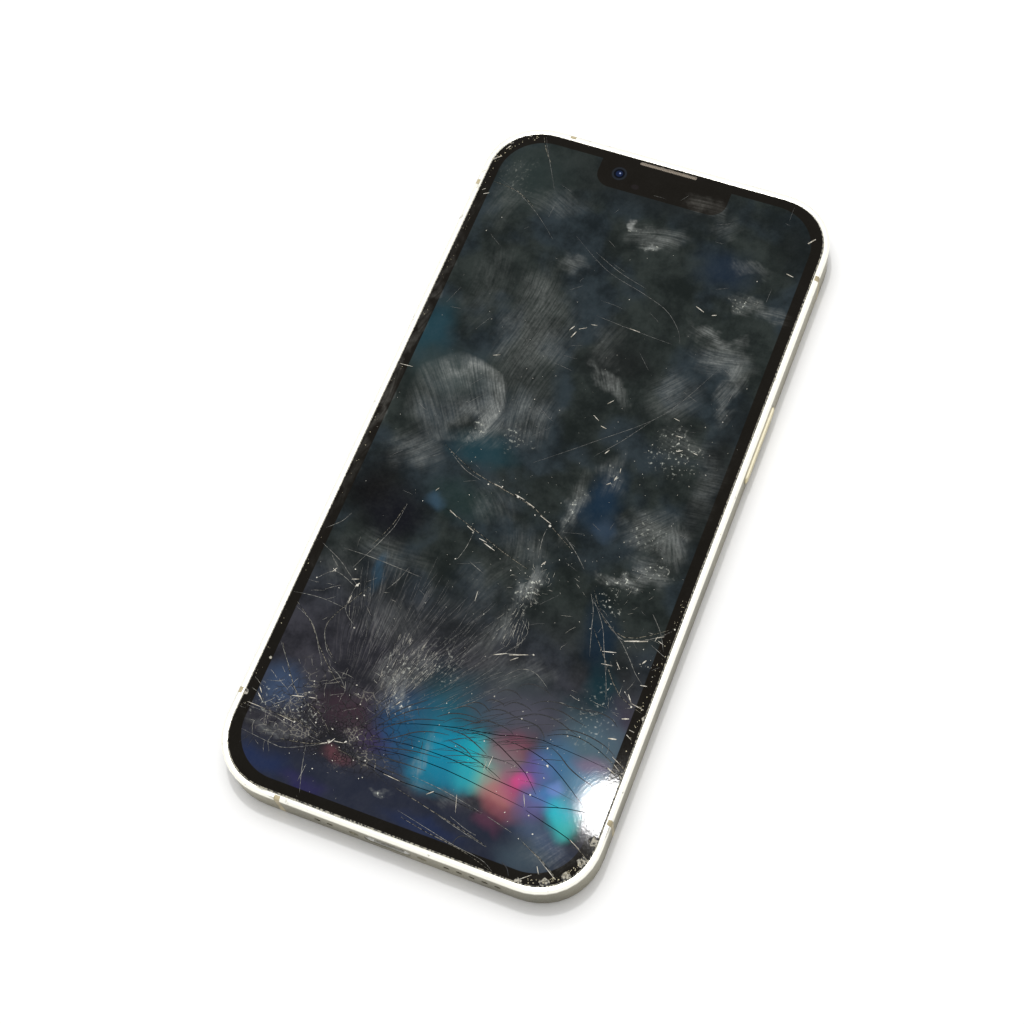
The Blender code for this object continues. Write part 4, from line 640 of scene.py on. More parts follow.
# The fan lies between two shares of a turn and two distances from the impact, where the mottle is pale
fan_edges = [
    (turned, 0.595, 0.66),
    (turned, 0.83, 0.77),
    (radius, 7 * MM, 13 * MM),
    (radius, 44 * MM, 18 * MM),
    (mottle, 0.32, 0.6),
]
fan_area = overlap(tree, fan_edges, **SOFT)
for start, end, strength, tint in ((0.5, 0.34, 0.7, seen("101013")), (0.54, 0.7, 0.3, linear("85827F"))):
    ridge = add(tree, "MapRange", {0: ridges, 1: start, 2: end, 4: strength}, **SOFT)[0]
    ridge = add(tree, "Math", {0: ridge, 1: fan_area}, operation="MULTIPLY")[0]
    colour = add(tree, "Mix", {0: ridge, 6: colour, 7: tint}, data_type="RGBA")[2]

# The web of cells round the impact, whose size grows with the distance from it
out_of_it = add(tree, "Math", {0: radius, 1: 1 / MM}, operation="MULTIPLY")[0]
out_of_it = add(tree, "Math", {0: out_of_it, 1: math.e}, operation="LOGARITHM")[0]
web_place = add(tree, "CombineXYZ", {"X": turned, "Y": out_of_it})[0]
web_scale = (math.tau * WEB_CELLS, WEB_CELLS, 0)
web_place = add(tree, "VectorMath", {0: web_place, 1: web_scale}, operation="MULTIPLY")[0]
web_place = bent(tree, web_place, 1.4, 0.9)
cell_edges = {"voronoi_dimensions": "2D", "feature": "DISTANCE_TO_EDGE"}
crack = add(tree, "TexVoronoi", {"Vector": web_place, "Scale": 1.0}, **cell_edges)["Distance"]
crack = add(tree, "Math", {0: crack, 1: radius}, operation="MULTIPLY")[0]
crack = add(tree, "Math", {0: crack, 1: 1 / WEB_CELLS}, operation="MULTIPLY")[0]
web_edges = [
    (crack, 0.12 * MM, 0.03 * MM),
    (radius, 19 * MM, 8 * MM),
    (mottle, 0.36, 0.5),
    (axes["Y"], -66 * MM, -62 * MM),
]
web = add(tree, "Math", {0: overlap(tree, web_edges, **SOFT), 1: 0.85}, operation="MULTIPLY")[0]
line_colour = between(tree, mottle, 0.54, 0.62, linear("0A090B"), linear("7C7870"))
colour = add(tree, "Mix", {0: web, 6: colour, 7: line_colour}, data_type="RGBA")[2]

# Grease and glass dust, in strokes and in one round print
film_place = bent(tree, flat, 4 * MM, 6 * MM)
stroke_place = bent(tree, flat, 26 * MM, 12 * MM, detail=0.0)
film = 0.0
for heading, rows in FILMS.items():
    spread = patches(tree, film_place, rows, 0.012)
    streaks = strokes(tree, stroke_place, heading)
    film = add(tree, "Math", {0: spread, 1: streaks, 2: film}, operation="MULTIPLY_ADD")[0]
disc = patch(tree, bent(tree, flat, 7 * MM, 2.4 * MM), *PRINT_DISC)
rim = overlap(tree, [(disc, 0.0, 0.1), (disc, 0.4, 0.1)], **SOFT)
heavier = add(tree, "MapRange", {0: axes["X"], 1: -24 * MM, 2: -13 * MM, 3: 0.1, 4: 0.95})[0]
fill = add(tree, "MapRange", {0: disc, 1: 0.0, 2: 0.4, 4: 0.34}, **SOFT)[0]
pressed = add(tree, "Math", {0: rim, 1: heavier, 2: fill}, operation="MULTIPLY_ADD")[0]
film = add(tree, "Math", {0: pressed, 1: streaks, 2: film}, operation="MULTIPLY_ADD")[0]
wiped = add(tree, "MapRange", {0: patch(tree, film_place, *WIPED), 2: 0.6, 3: 1.0, 4: 0.25})[0]
worn = add(tree, "MapRange", {0: mottle, 1: 0.3, 2: 0.7, 3: 0.3, 4: 0.9})[0]
gritty = add(tree, "MapRange", {0: grain, 1: 0.3, 2: 0.7, 3: 0.8, 4: 1.15})[0]
for share in (wiped, worn, gritty):
    film = add(tree, "Math", {0: film, 1: share}, operation="MULTIPLY")[0]
film = add(tree, "Clamp", {"Value": film})[0]
colour = add(tree, "Mix", {0: film, 6: colour, 7: linear("888B88")}, data_type="RGBA")[2]
specks = {"Vector": flat, "Scale": 1 / (0.7 * MM), "Detail": 3.0, "Roughness": 0.6}
specks = add(tree, "TexNoise", specks, **FLAT_NOISE)[0]
specks = add(tree, "MapRange", {0: specks, 1: 0.58, 2: 0.78}, **SOFT)[0]
speckled = {0: patches(tree, film_place, GRITS), 1: specks}
speckled = add(tree, "Math", speckled, operation="MULTIPLY", use_clamp=True)[0]
colour = add(tree, "Mix", {0: speckled, 6: colour, 7: linear("D6D8CC")}, data_type="RGBA")[2]

# The printed border covers all outside the screen, and the notch inside it with its camera and sensor
screen = inside(tree, flat, (0, 0), SCREEN_HALF, SCREEN_CORNER)
notch = inside(tree, flat, NOTCH_CENTRE, NOTCH_HALF, NOTCH_CORNER)
notch = add(tree, "Math", {0: notch, 1: -1.0}, operation="MULTIPLY")[0]
outside = add(tree, "Math", {0: screen, 1: notch}, operation="MAXIMUM")[0]
dusty = add(tree, "Math", {0: film, 1: 0.45}, operation="MULTIPLY")[0]
ink = add(tree, "Mix", {0: dusty, 6: seen("1A1815"), 7: linear("86847E")}, data_type="RGBA")[2]
colour = between(tree, outside, -0.06 * MM, 0.06 * MM, colour, ink)
eye = patch(tree, flat, *EYE)
for start, end, tint in ((0.0, 0.1, "26292E"), (0.26, 0.36, "101218"), (0.5, 0.62, "1A2440")):
    colour = between(tree, eye, start, end, colour, seen(tint))
# A painted highlight on the front camera's lens.
colour = between(tree, patch(tree, flat, *EYE_PAINTED_HIGHLIGHT), 0.2, 0.8, colour, seen("9AA6C8"))
colour = between(tree, patch(tree, flat, *SENSOR_DOT), 0.1, 0.5, colour, seen("2A2628"), 0.5)

# Broken faces lie below the top face: powdered white, but painted dark as shade where they cut the painted
# glow of the display
depth = add(tree, "MapRange", {0: axes["Z"], 1: GLASS_TOP - 0.02 * MM, 2: GLASS_TOP - 0.05 * MM})[0]
painted_glow_edges = [
    (axes["X"], -14 * MM, -8 * MM),
    (axes["X"], 31.5 * MM, 30 * MM),
    (axes["Y"], -42 * MM, -47 * MM),
    (axes["Y"], -64 * MM, -62.5 * MM),
]
over_painted_glow = overlap(tree, painted_glow_edges)
powder = between(tree, grain, 0.38, 0.62, linear("343536"), linear("B9B4A6"))
# Over the painted glow the broken faces are a painted shade.
broken = add(tree, "Mix", {0: over_painted_glow, 6: powder, 7: linear("0A0D12")}, data_type="RGBA")[2]
colour = add(tree, "Mix", {0: depth, 6: colour, 7: broken}, data_type="RGBA")[2]
tree.links.new(colour, shader.inputs["Base Color"])
frosted = add(tree, "Math", {0: film, 1: speckled}, operation="MAXIMUM")[0]
frosted = add(tree, "Math", {0: frosted, 1: depth}, operation="MAXIMUM")[0]
rough = add(tree, "MapRange", {0: frosted, 1: 0.0, 2: 0.8, 3: 0.035, 4: 0.5})[0]
tree.links.new(rough, shader.inputs["Roughness"])
normal = add(tree, "Bump", {"Height": grain, "Distance": 0.0015 * MM})[0]
tree.links.new(normal, shader.inputs["Normal"])
paint(surface, "cover_glass")


# Hairline cracks: the finest cracks of the front glass, too thin to be cut in the sheet.
# Each is a shallow sliver on the glass: the pale ones powdered white in grazing light, the dark ones near
# black, a painted shade of open cracks across the bright display.

STEP = 0.55
ROUNDING = 6
LIFT = 0.006 * MM
GLASS_REACH = (34.2, 71.8)
CORNER = (24.0, 61.5)
CORNER_REACH = 10.2
SLIVER_MERGE = 0.0001 * MM
chance = random.Random(11)


def walk(x, y, heading, length, bend, wander):
    """Points in millimetres of a crack that sets off at a heading in degrees and slowly turns."""
    points = [(x, y)]
    for _ in range(max(2, int(length / STEP))):
        heading += bend * STEP + chance.gauss(0, wander)
        x += STEP * math.cos(math.radians(heading))
        y += STEP * math.sin(math.radians(heading))
        points.append((x, y))
    return points


def rounded(points):
    """A smooth line through given points."""
    ends = [points[0], *points, points[-1]]
    line = []
    for knots in zip(ends, ends[1:], ends[2:], ends[3:]):
        for part in range(ROUNDING):
            t = part / ROUNDING
            shares = (
                (-t + 2 * t * t - t**3) / 2,
                (2 - 5 * t * t + 3 * t**3) / 2,
                (t + 4 * t * t - 3 * t**3) / 2,
                (t**3 - t * t) / 2,
            )
            line.append([sum(share * knot[axis] for share, knot in zip(shares, knots)) for axis in (0, 1)])
    return [*line, points[-1]]


def on_glass(x, y):
    """Whether a place in millimetres lies on the glass, clear of its rounded corners."""
    x, y = abs(x), abs(y)
    if x > GLASS_REACH[0] or y > GLASS_REACH[1]:
        return False
    return x < CORNER[0] or y < CORNER[1] or math.hypot(x - CORNER[0], y - CORNER[1]) < CORNER_REACH


def crushed(name, colour, shade, roughness):
    """Crushed glass: a pale powder that breaks up along its length, rough on every face."""
    surface, tree, shader, place = start_finish(name)
    shader.inputs["IOR"].default_value = 1.5
    grain = add(tree, "TexNoise", {"Vector": place, "Scale": 1 / (0.6 * MM), "Detail": 3.0})[0]
    broken = between(tree, grain, 0.38, 0.6, linear(shade), linear(colour))
    finish_shader(tree, shader, broken, grain, roughness, roughness + 0.2, grain, 0.005 * MM)
    return surface


def lay_on_glass(name, shape, surface):
    """Put a finished shape with its material on the case."""
    piece = put_in_scene(name, shape, surface)
    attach(piece, "case")


def slivers(name, lines, surface):
    """One piece of many flat tapered slivers on the glass, from lists of points and a width each."""
    curve = bpy.data.curves.new(name, "CURVE")
    curve.dimensions = "3D"
    curve.twist_mode = "Z_UP"
    curve.bevel_depth = 1.0 * MM
    curve.bevel_resolution = 0
    curve.use_fill_caps = True
    for points, width in lines:
        points = [point for point in points if on_glass(*point)]
        if len(points) < 2:
            continue
        line = curve.splines.new("POLY")
        line.points.add(len(points) - 1)
        for at, (x, y) in enumerate(points):
            taper = math.sin(math.pi * (at + 0.35) / (len(points) - 0.3))
            line.points[at].co = (x * MM, y * MM, 0, 1)
            line.points[at].radius = width / 2 * (0.25 + 0.75 * taper)
    guide = bpy.data.objects.new(name + "_guide", curve)
    bpy.context.scene.collection.objects.link(guide)
    bpy.context.view_layer.update()
    swept = bpy.data.meshes.new_from_object(guide.evaluated_get(bpy.context.evaluated_depsgraph_get()))
    shape = bmesh.new()
    shape.from_mesh(swept)
    bpy.data.objects.remove(guide, do_unlink=True)
    bpy.data.curves.remove(curve)
    bpy.data.meshes.remove(swept)
    bmesh.ops.remove_doubles(shape, verts=shape.verts, dist=SLIVER_MERGE)
    for vertex in shape.verts:
        vertex.co.z = GLASS_TOP + max(-LIFT, min(LIFT, vertex.co.z))
    bmesh.ops.recalc_face_normals(shape, faces=shape.faces)
    lay_on_glass(name, shape, surface)


def fan(centre, near, far, start, end, count, long, bend, wander, width, turn=0.0):
    """Lines that spread from a centre between two angles, each starting at some distance from it."""
    lines = []
    for _ in range(count):
        angle = chance.uniform(start, end)
        distance = near + (far - near) * chance.random() ** 0.8
        x = centre[0] + distance * math.cos(math.radians(angle))
        y = centre[1] + distance * math.sin(math.radians(angle))
        length = chance.uniform(0.35, 1.0) * long
        thick = chance.uniform(0.55, 1.0) * width
        lines.append((walk(x, y, angle + turn + chance.gauss(0, 5), length, bend, wander), thick))
    return lines


def scallops(centre, near, far, start, end, count, width):
    """Short wavy arcs that run round an impact."""
    lines = []
    for _ in range(count):
        angle = chance.uniform(start, end)
        radius = near + (far - near) * chance.random() ** 0.7
        x = centre[0] + radius * math.cos(math.radians(angle))
        y = centre[1] + radius * math.sin(math.radians(angle))
        bend = math.degrees(1 / radius) * chance.choice((-1, 1, 1))
        length = chance.uniform(1.0, 3.6)
        lines.append((walk(x, y, angle + 90 + chance.gauss(0, 16), length, bend, 9), width))
    return lines


# Lines from the photo, in millimetres
PALE_LINES = [
    [(-12, 51.2), (-3.5, 45.8), (4.5, 43.3), (10.3, 41.1), (13.9, 37.8), (15.3, 35)],
    [(-7, 49), (-1, 46.2), (5, 44.4)],
    [(-2, 35.7), (5.2, 35), (13.9, 34.4)],
    [(24, 32.1), (17.5, 19.8), (7.4, 10.4), (-2, 2.4)],
    [(16, 18), (12, 12), (8.2, 7.4)],
    [(-31.7, 59.2), (-26.6, 57), (-21.5, 53.8), (-16, 49)],
    [(-26.2, 71.5), (-24.8, 68.6), (-23, 65.4), (-20, 60)],
    [(17.4, -18.5), (18.9, -21.4), (19.9, -24.9), (21.4, -29.9)],
    [(18.1, -19.2), (21.4, -23.5), (23.5, -28.1), (26, -33.8), (26.9, -36.5)],
    [(18, -19.6), (22, -22.6), (26.2, -25), (31, -22.8), (33.6, -20.4)],
    [(22.8, -23.5), (25.6, -25.3), (28.1, -27.8), (30.2, -30.2), (32.4, -32)],
    [(29.2, -18.5), (31.7, -21.4), (33.4, -24.6)],
    [(31, -24.2), (34.2, -25.6)],
    [(5.3, -9.3), (5.2, -11), (5.5, -13.2), (5.9, -15.3)],
    [(8.9, -9.6), (12.1, -12.1), (14.6, -14.6)],
    [(-17, -1), (-13.4, -3.2), (-10, -4.2)],
    [(-7.2, -14.9), (-7.4, -17.8), (-8.1, -20.6)],
    [(-5.8, -20.1), (-2.6, -21.4)],
    [(-21.1, -13.2), (-21.3, -16.7), (-21.8, -19.2), (-23.3, -23.1), (-24.7, -26.3), (-25.6, -28.5)],
    [(-30.2, -18.5), (-31.3, -20.6), (-33.6, -22.8)],
    [(-32.9, -25.8), (-28.6, -27.8), (-26.1, -29.5), (-23.6, -31.3)],
    [(-23.4, -31.9), (-28.2, -30.2), (-31.1, -32.6)],
    [(-23.6, -31.6), (-23.6, -36.3), (-20.8, -38.8)],
    [(-23.6, -36.3), (-27.9, -35.9), (-31.4, -36.1), (-34, -36.5)],
    [(-28.6, -25.4), (-22.5, -25.4), (-12.9, -26)],
    [(-15.8, -24.9), (-16.6, -27.6), (-17.9, -30.2)],
    [(-25.5, -40.1), (-25.5, -41.5), (-23.7, -44.7), (-22, -46)],
    [(-32.4, -38.9), (-28.7, -40.6), (-26.2, -43.3), (-25.5, -44.5), (-23.4, -47.5)],
    [(-32.2, -46.1), (-30.4, -48.2), (-28.7, -50.1)],
    [(-21.4, -47.5), (-19.4, -48.6), (-17.4, -50.5)],
    [(-19.9, -62.3), (-18.8, -66.6), (-17.4, -70.7)],
    [(-18.4, -65.6), (-18.6, -69)],
    [(4.6, -35.6), (7.1, -34.5), (10.7, -33.5), (11.9, -32.9)],
    [(9.4, -30.4), (8.6, -32.2), (7.5, -33.8)],
    [(7.5, -27.4), (9.3, -29.2), (9.1, -30.6)],
    [(8.5, -38.4), (10.7, -36.3), (13.5, -36.1), (16.7, -38.1)],
    [(29.5, -34), (30.8, -35), (31.7, -36.3)],
    [(7, -66), (12, -67.2), (16.9, -68.3)],
    [(9, -65.4), (12.4, -66.6), (14.6, -67)],
    [(0, -61.1), (4.2, -61.4), (8.1, -61.9), (14.1, -63)],
    [(15.1, -63.2), (20.1, -64.4)],
    [(21.8, -64.9), (26.4, -67.2), (29, -68.8), (31, -69.9)],
    [(0, -67.6), (3.5, -68.3), (7, -69), (11.6, -69.9), (16.9, -70.6), (19.4, -71.8)],
    [(-33, -59.2), (-28, -59.4), (-23.6, -60.2), (-17, -61)],
    [(-32, -63.6), (-26, -64.2), (-22.9, -64), (-16.7, -61)],
]
DARK_LINES = [
    [(14.4, -44.3), (15.8, -43.3), (18.3, -42.8), (20.8, -43.1), (22.9, -43.8), (24.6, -44.3)],
    [(12.1, -46.5), (13.4, -45.2), (15.5, -44.9), (17.6, -45.2), (19, -46.3), (19.4, -47.2)],
    [(7.4, -46.3), (8.8, -45), (10.6, -44.5), (12.3, -44.7), (14.1, -45)],
    [(7, -44), (8.1, -43.3), (9.9, -43.3), (10.6, -43.8)],
    [(10.6, -43.6), (12, -42.4), (14.1, -42.4), (15.5, -42.9)],
    [(14.8, -41.9), (16.5, -40.6), (18.7, -39.9), (21.1, -39.8), (24.3, -39.6), (26.4, -39.4)],
    [(24.3, -39.4), (26.8, -39.1), (29.2, -39.5), (30.6, -40.5)],
    [(21.1, -47.9), (22.9, -48.7), (25.4, -50.3), (28.2, -51.4), (30.3, -51.9)],
    [(3.5, -52.8), (6.7, -53.3), (8.5, -54.2)],
    [(2.1, -51.2), (5.6, -51), (8.5, -51.9), (10.9, -53)],
    [(0, -49.6), (2.1, -48.2), (4.6, -47.5), (7.6, -47.4)],
    [(1.5, -50.2), (3.5, -48.6), (7, -48.2), (8.1, -47.3), (10.6, -47.2), (13, -47.5), (14.1, -48.2)],
    [(4, -45.8), (5.4, -44.8), (7, -44.7), (8.6, -45.6)],
    [(2.6, -47), (4.2, -46), (6, -46), (7.4, -46.8)],
    [(8.4, -42), (9.6, -40.8), (11.4, -40.6), (13, -41.4)],
    [(16.4, -42.6), (18, -41.4), (20.6, -41.2), (23, -41.8), (25.4, -42.2)],
    [(11.4, -39.6), (13, -38.4), (15.4, -38.2), (17.8, -39)],
    [(20, -45), (22.6, -43.9), (26, -43.7), (29.6, -44.4), (32, -45.6)],
    [(11.3, -69.9), (11.6, -68.6), (12.7, -67.8), (15.8, -67.8)],
    [(20.4, -69.8), (21.6, -70.4), (22.4, -71.6)],
    [(-10, -57.6), (-6, -56), (-2.6, -53.6), (0.6, -52.4), (3.4, -52)],
    [(-10, -58.8), (-5, -57.6), (-1, -56.8), (3.6, -56.4)],
    [(-10.4, -60), (-4, -59.6), (2, -59.4)],
    [(-9.6, -56), (-6.4, -53.4), (-3, -51.2), (1.6, -49.8)],
    [(-9, -54.4), (-6.4, -51.6), (-3.6, -49.4), (0.6, -47.6)],
    [(-8.6, -52.8), (-5.6, -49.6), (-2.6, -47.2)],
    [(-12, -55.6), (-10, -52.6), (-8.8, -49.8)],
    [(-10.4, -61), (-5.4, -61.6), (0, -61.8)],
]

pale = crushed("crushed_glass_powder", "C2BEB2", "5E5D59", 0.5)
faint = crushed("fine_glass_scratch", "7E7D79", "3E3F3F", 0.5)
# Near-black slivers for open cracks: a painted shade.
dark = crushed("open_crack_shadow", "0A0C10", "121419", 0.35)

hair = fan(IMPACT, 14, 34, 52, 104, 120, 7.0, 0.7, 1.6, 0.05, turn=4)
hair += fan((-12, -56), 10, 26, 30, 62, 60, 7.0, -0.6, 2.0, 0.06, turn=12)
for _ in range(60):
    x, y = chance.uniform(-33, 33), chance.uniform(-30, 70)
    heading = chance.choice((12, 40, 62, 85, 150, 172)) + chance.gauss(0, 12)
    hair.append((walk(x, y, heading, chance.uniform(1.0, 5.0), chance.gauss(0, 2.5), 1.2), 0.05))
slivers("hairlines_faint", hair, faint)

bright = fan((-13, -60), 10, 22, 62, 88, 130, 2.4, 0.8, 4.0, 0.08, turn=6)
bright += fan(IMPACT, 3, 17, 96, 200, 40, 2.6, 0.0, 7.0, 0.06)
bright += scallops(IMPACT, 6, 15, 40, 200, 40, 0.06)
bright += fan((28, -38), 0, 9, 0, 360, 30, 2.6, 0.0, 7.0, 0.06)
bright += fan((22, -22), 0, 9, 0, 360, 22, 2.4, 0.0, 7.0, 0.06)
bright += fan((7, -20.6), 0.2, 4, 0, 360, 34, 1.3, 0.0, 22.0, 0.07, turn=30)
bright += fan((7, -22), 3, 10, 240, 290, 40, 3.0, 0.0, 4.0, 0.06)
bright += fan((-24, -32), 0, 8, 0, 360, 16, 3.0, 0.0, 8.0, 0.06)
slivers("hairlines_bright", bright, pale)

shadow = fan(IMPACT, 1.5, 13, -14, 200, 170, 4.6, -0.4, 3.0, 0.08)
shadow += scallops(IMPACT, 3, 17, 10, 195, 130, 0.085)
shadow += fan((-2, -52), 2, 12, -12, 30, 12, 8.0, -1.2, 1.6, 0.10)
shadow += fan((-10, -57.5), 8, 30, 2, 34, 34, 12.0, -2.2, 0.8, 0.13, turn=14)
shadow += [(rounded(line), 0.2) for line in DARK_LINES]
slivers("hairlines_dark", shadow, dark)

picked = crushed("hairline_glass", "A19F97", "4E4E4C", 0.4)
slivers("long_hairlines", [(rounded(line), 0.09) for line in PALE_LINES if line[0][1] < 0], picked)
slivers("long_scratches", [(rounded(line), 0.08) for line in PALE_LINES if line[0][1] > 0], faint)


# Splinters: slips of glass that stand on edge in the cracks and throw the sun back.
# They have clean broken faces, and their near-white colour, brighter than the powder round them, is a painted
# glint of the sun.

# Places in millimetres, length, width and turn
SPLINTERS = [
    (31.4, -38.6, 1.3, 0.30, 20), (30.5, -42.8, 1.5, 0.34, 12), (33.6, -41.8, 2.3, 0.20, -28),
    (33.7, -40.4, 2.0, 0.14, -8), (32.8, -46.4, 2.6, 0.12, -26), (33.1, -48.6, 3.4, 0.26, -22),
    (33.6, -47.8, 2.8, 0.16, -32), (32.6, -35.8, 2.4, 0.18, -10), (30.8, -34.8, 1.6, 0.18, -52),
    (32.0, -63.1, 4.6, 0.16, -26), (28.2, -24.4, 4.2, 0.30, 19), (30.9, -27.6, 1.0, 0.26, 60),
    (24.4, -27.9, 2.5, 0.20, 14), (24.8, -30.3, 2.0, 0.14, 8), (9.4, -33.9, 3.4, 0.24, 20),
    (6.2, -34.9, 2.4, 0.22, 26), (8.9, -34.9, 1.6, 0.14, 40), (4.2, -62.8, 1.4, 0.24, 42),
    (-3.2, -62.6, 3.2, 0.16, -4), (26.8, -29.8, 1.5, 0.16, -48), (32.3, -31.8, 1.2, 0.2, 10),
    (28.6, -68.5, 3.2, 0.14, -30), (26.7, -68.9, 1.4, 0.16, -58), (25.1, -70.8, 2.3, 0.14, 40),
    (27.6, -70.8, 2.9, 0.14, 38), (9.2, -63.0, 3.2, 0.10, -72), (20.1, -58.4, 2.2, 0.10, -64),
    (12.0, -54.2, 2.6, 0.12, 88), (11.4, -55.0, 1.6, 0.10, 92), (32.4, 65.3, 3.6, 0.34, 52),
    (30.2, 56.0, 1.5, 0.22, -12), (-33.2, 54.6, 2.4, 0.18, 28), (-33.8, 55.4, 1.6, 0.14, 40),
    (-32.7, 13.7, 2.6, 0.14, 4), (-33.6, 67.4, 1.2, 0.30, -30), (-32.4, 66.6, 1.0, 0.26, 62),
    (-33.4, 63.8, 1.2, 0.24, 40), (-5.4, 31.6, 1.4, 0.20, 60), (-4.6, 30.4, 1.6, 0.22, 70),
    (-3.4, 32.2, 1.6, 0.14, 30), (-1.6, 33.6, 1.2, 0.14, 10), (16.4, 43.4, 2.0, 0.2, -22),
    (19.4, 43.0, 0.9, 0.2, 24), (7.2, 19.0, 1.4, 0.16, 50), (5.8, 15.0, 1.6, 0.14, -30),
    (7.8, 13.6, 1.2, 0.22, -10), (6.2, 35.0, 2.2, 0.14, -4), (-17.0, 21.4, 1.4, 0.12, 24),
    (10.2, 9.0, 1.2, 0.2, 60), (21.8, 16.4, 1.4, 0.14, 4), (20.2, 19.6, 1.2, 0.14, -10),
    (22.8, 13.6, 1.2, 0.2, 30), (25.8, 14.0, 1.0, 0.16, -8), (-1.8, -5.0, 2.2, 0.18, -14),
    (0.6, -5.8, 2.0, 0.22, -18), (4.4, -7.7, 2.6, 0.16, -20), (-6.4, -4.2, 1.8, 0.16, -10),
    (-12.2, -12.2, 2.0, 0.16, -26), (-8.0, -14.0, 1.8, 0.2, -22), (-3.4, -16.2, 2.6, 0.2, -18),
    (-5.0, -15.4, 1.6, 0.18, -10), (7.2, -15.9, 1.0, 0.3, 60), (-2.0, -26.0, 2.0, 0.12, 96),
    (-23.4, -31.3, 1.0, 0.34, 60), (-24.2, -30.4, 1.4, 0.18, 20), (-23.6, -34.4, 1.8, 0.18, 90),
    (-28.6, -30.0, 1.2, 0.16, 60), (-25.0, -54.6, 2.2, 0.2, 14), (-22.4, -54.0, 1.4, 0.18, 10),
    (-31.4, -57.0, 1.6, 0.22, -40), (-31.8, -55.8, 1.2, 0.2, -50), (-31.6, -58.7, 3.0, 0.16, -2),
    (-25.2, -59.1, 3.4, 0.12, -6), (-7.4, -49.6, 1.0, 0.2, 60), (-15.9, -60.2, 1.6, 0.2, 60),
    (-14.6, -59.9, 1.8, 0.16, 8), (-17.2, -61.1, 1.2, 0.16, 30), (13.6, 4.4, 1.0, 0.24, 80),
    (12.8, 3.0, 0.9, 0.2, 40), (13.9, 6.2, 1.0, 0.16, 100), (31.9, -22.3, 1.6, 0.14, 30),
    (32.4, -23.2, 1.2, 0.12, -20), (31.4, -22.8, 1.0, 0.12, 80), (-16.9, -8.6, 0.8, 0.14, 60),
]
bars = []
for x, y, length, width, turn in SPLINTERS:
    reach = Vector((math.cos(math.radians(turn)), math.sin(math.radians(turn)))) * length / 2
    bars.append(([(x - reach.x, y - reach.y), (x, y), (x + reach.x, y + reach.y)], width))
# The splinters' near-white colour is a painted glint.
slivers("glass_splinters", bars, crushed("glass_splinter_painted_glint", "F0EADB", "B9B1A0", 0.2))


# Glass dust and crumbs: what the blow threw out, thick near the impact and along the broken edge.
# Each grain is a tiny faceted chip, pressed flat on the glass.

# Centre in millimetres, reach, count and size
DUST = [
    (-16.3, -60.5, 9.0, 70, 0.10),
    (-24, -56, 7.0, 40, 0.10),
    (20, -52, 11.0, 50, 0.11),
    (30, -30, 8.0, 40, 0.09),
    (20, -16, 8.0, 34, 0.09),
    (4, -20, 9.0, 30, 0.09),
    (24, 14, 8.0, 30, 0.08),
    (-4, -40, 14.0, 50, 0.09),
    (0, 20, 30.0, 90, 0.07),
    (0, -20, 26.0, 50, 0.08),
    (0, 0, 52.0, 90, 0.07),
]

# Bright knots at the ends and meetings of cracks: place in millimetres and size
KNOTS = [
    (-2.1, -5.1, 0.34), (2.2, -7.5, 0.24), (5.6, -8.6, 0.34), (-5.6, -4.1, 0.2), (-8.3, -4.5, 0.24),
    (-8.4, -20.5, 0.24), (-7.3, -14.6, 0.22), (-20.6, -39.2, 0.26), (-23.6, -59.2, 0.26), (-28, -51.5, 0.24),
    (-19.9, -58, 0.2), (-15.8, -49.1, 0.24), (-16.3, -60.5, 0.3), (-13.4, -59.4, 0.24), (-8.8, -61.4, 0.22),
    (-31.1, -32.5, 0.2), (-28.4, -30.1, 0.2), (-21.4, -32.8, 0.24), (-23.4, -31.4, 0.36), (-25, -28.6, 0.18),
    (14.3, -44.8, 0.22), (20.5, -48.3, 0.28), (21.6, -51.2, 0.3), (23, -45, 0.22), (20.7, -57.1, 0.22),
    (25, -44.4, 0.2), (17.7, -61.5, 0.2), (23.6, -63.4, 0.2), (8.2, -42.6, 0.2), (31.6, -36.2, 0.24),
    (33.9, -20, 0.2), (26.6, -34.6, 0.22), (29.6, -34, 0.2), (7.3, -15.9, 0.3), (11.9, -33, 0.26),
    (-26.4, -33, 0.14), (-29.4, 46.8, 0.16), (30.4, 30, 0.14), (17.4, 11.8, 0.16), (-27.6, 50.6, 0.14),
]


def grains(name, places, surface):
    """One piece of many small flat chips, from places in millimetres and a size for each."""
    shape = bmesh.new()
    for x, y, size in places:
        if not on_glass(x, y):
            continue
        stretch = Matrix.Diagonal((size * MM, size * MM * chance.uniform(0.5, 1.0), LIFT * 1.2, 1.0))
        turn = Matrix.Rotation(chance.uniform(0, math.pi), 4, "Z")
        at = Matrix.Translation((x * MM, y * MM, GLASS_TOP))
        bmesh.ops.create_icosphere(shape, subdivisions=1, radius=1.0, matrix=at @ turn @ stretch)
    lay_on_glass(name, shape, surface)


scattered = [(x, y, size * 0.8) for x, y, size in KNOTS]
for x, y, reach, count, size in DUST:
    for _ in range(count):
        grain_size = size * chance.choice((0.4, 0.5, 0.6, 0.8, 1.0, 1.4))
        scattered.append((chance.gauss(x, reach / 2), chance.gauss(y, reach / 2), grain_size))
grains("glass_dust", scattered, crushed("glass_dust_grain", "DCD8CC", "9A968A", 0.35))

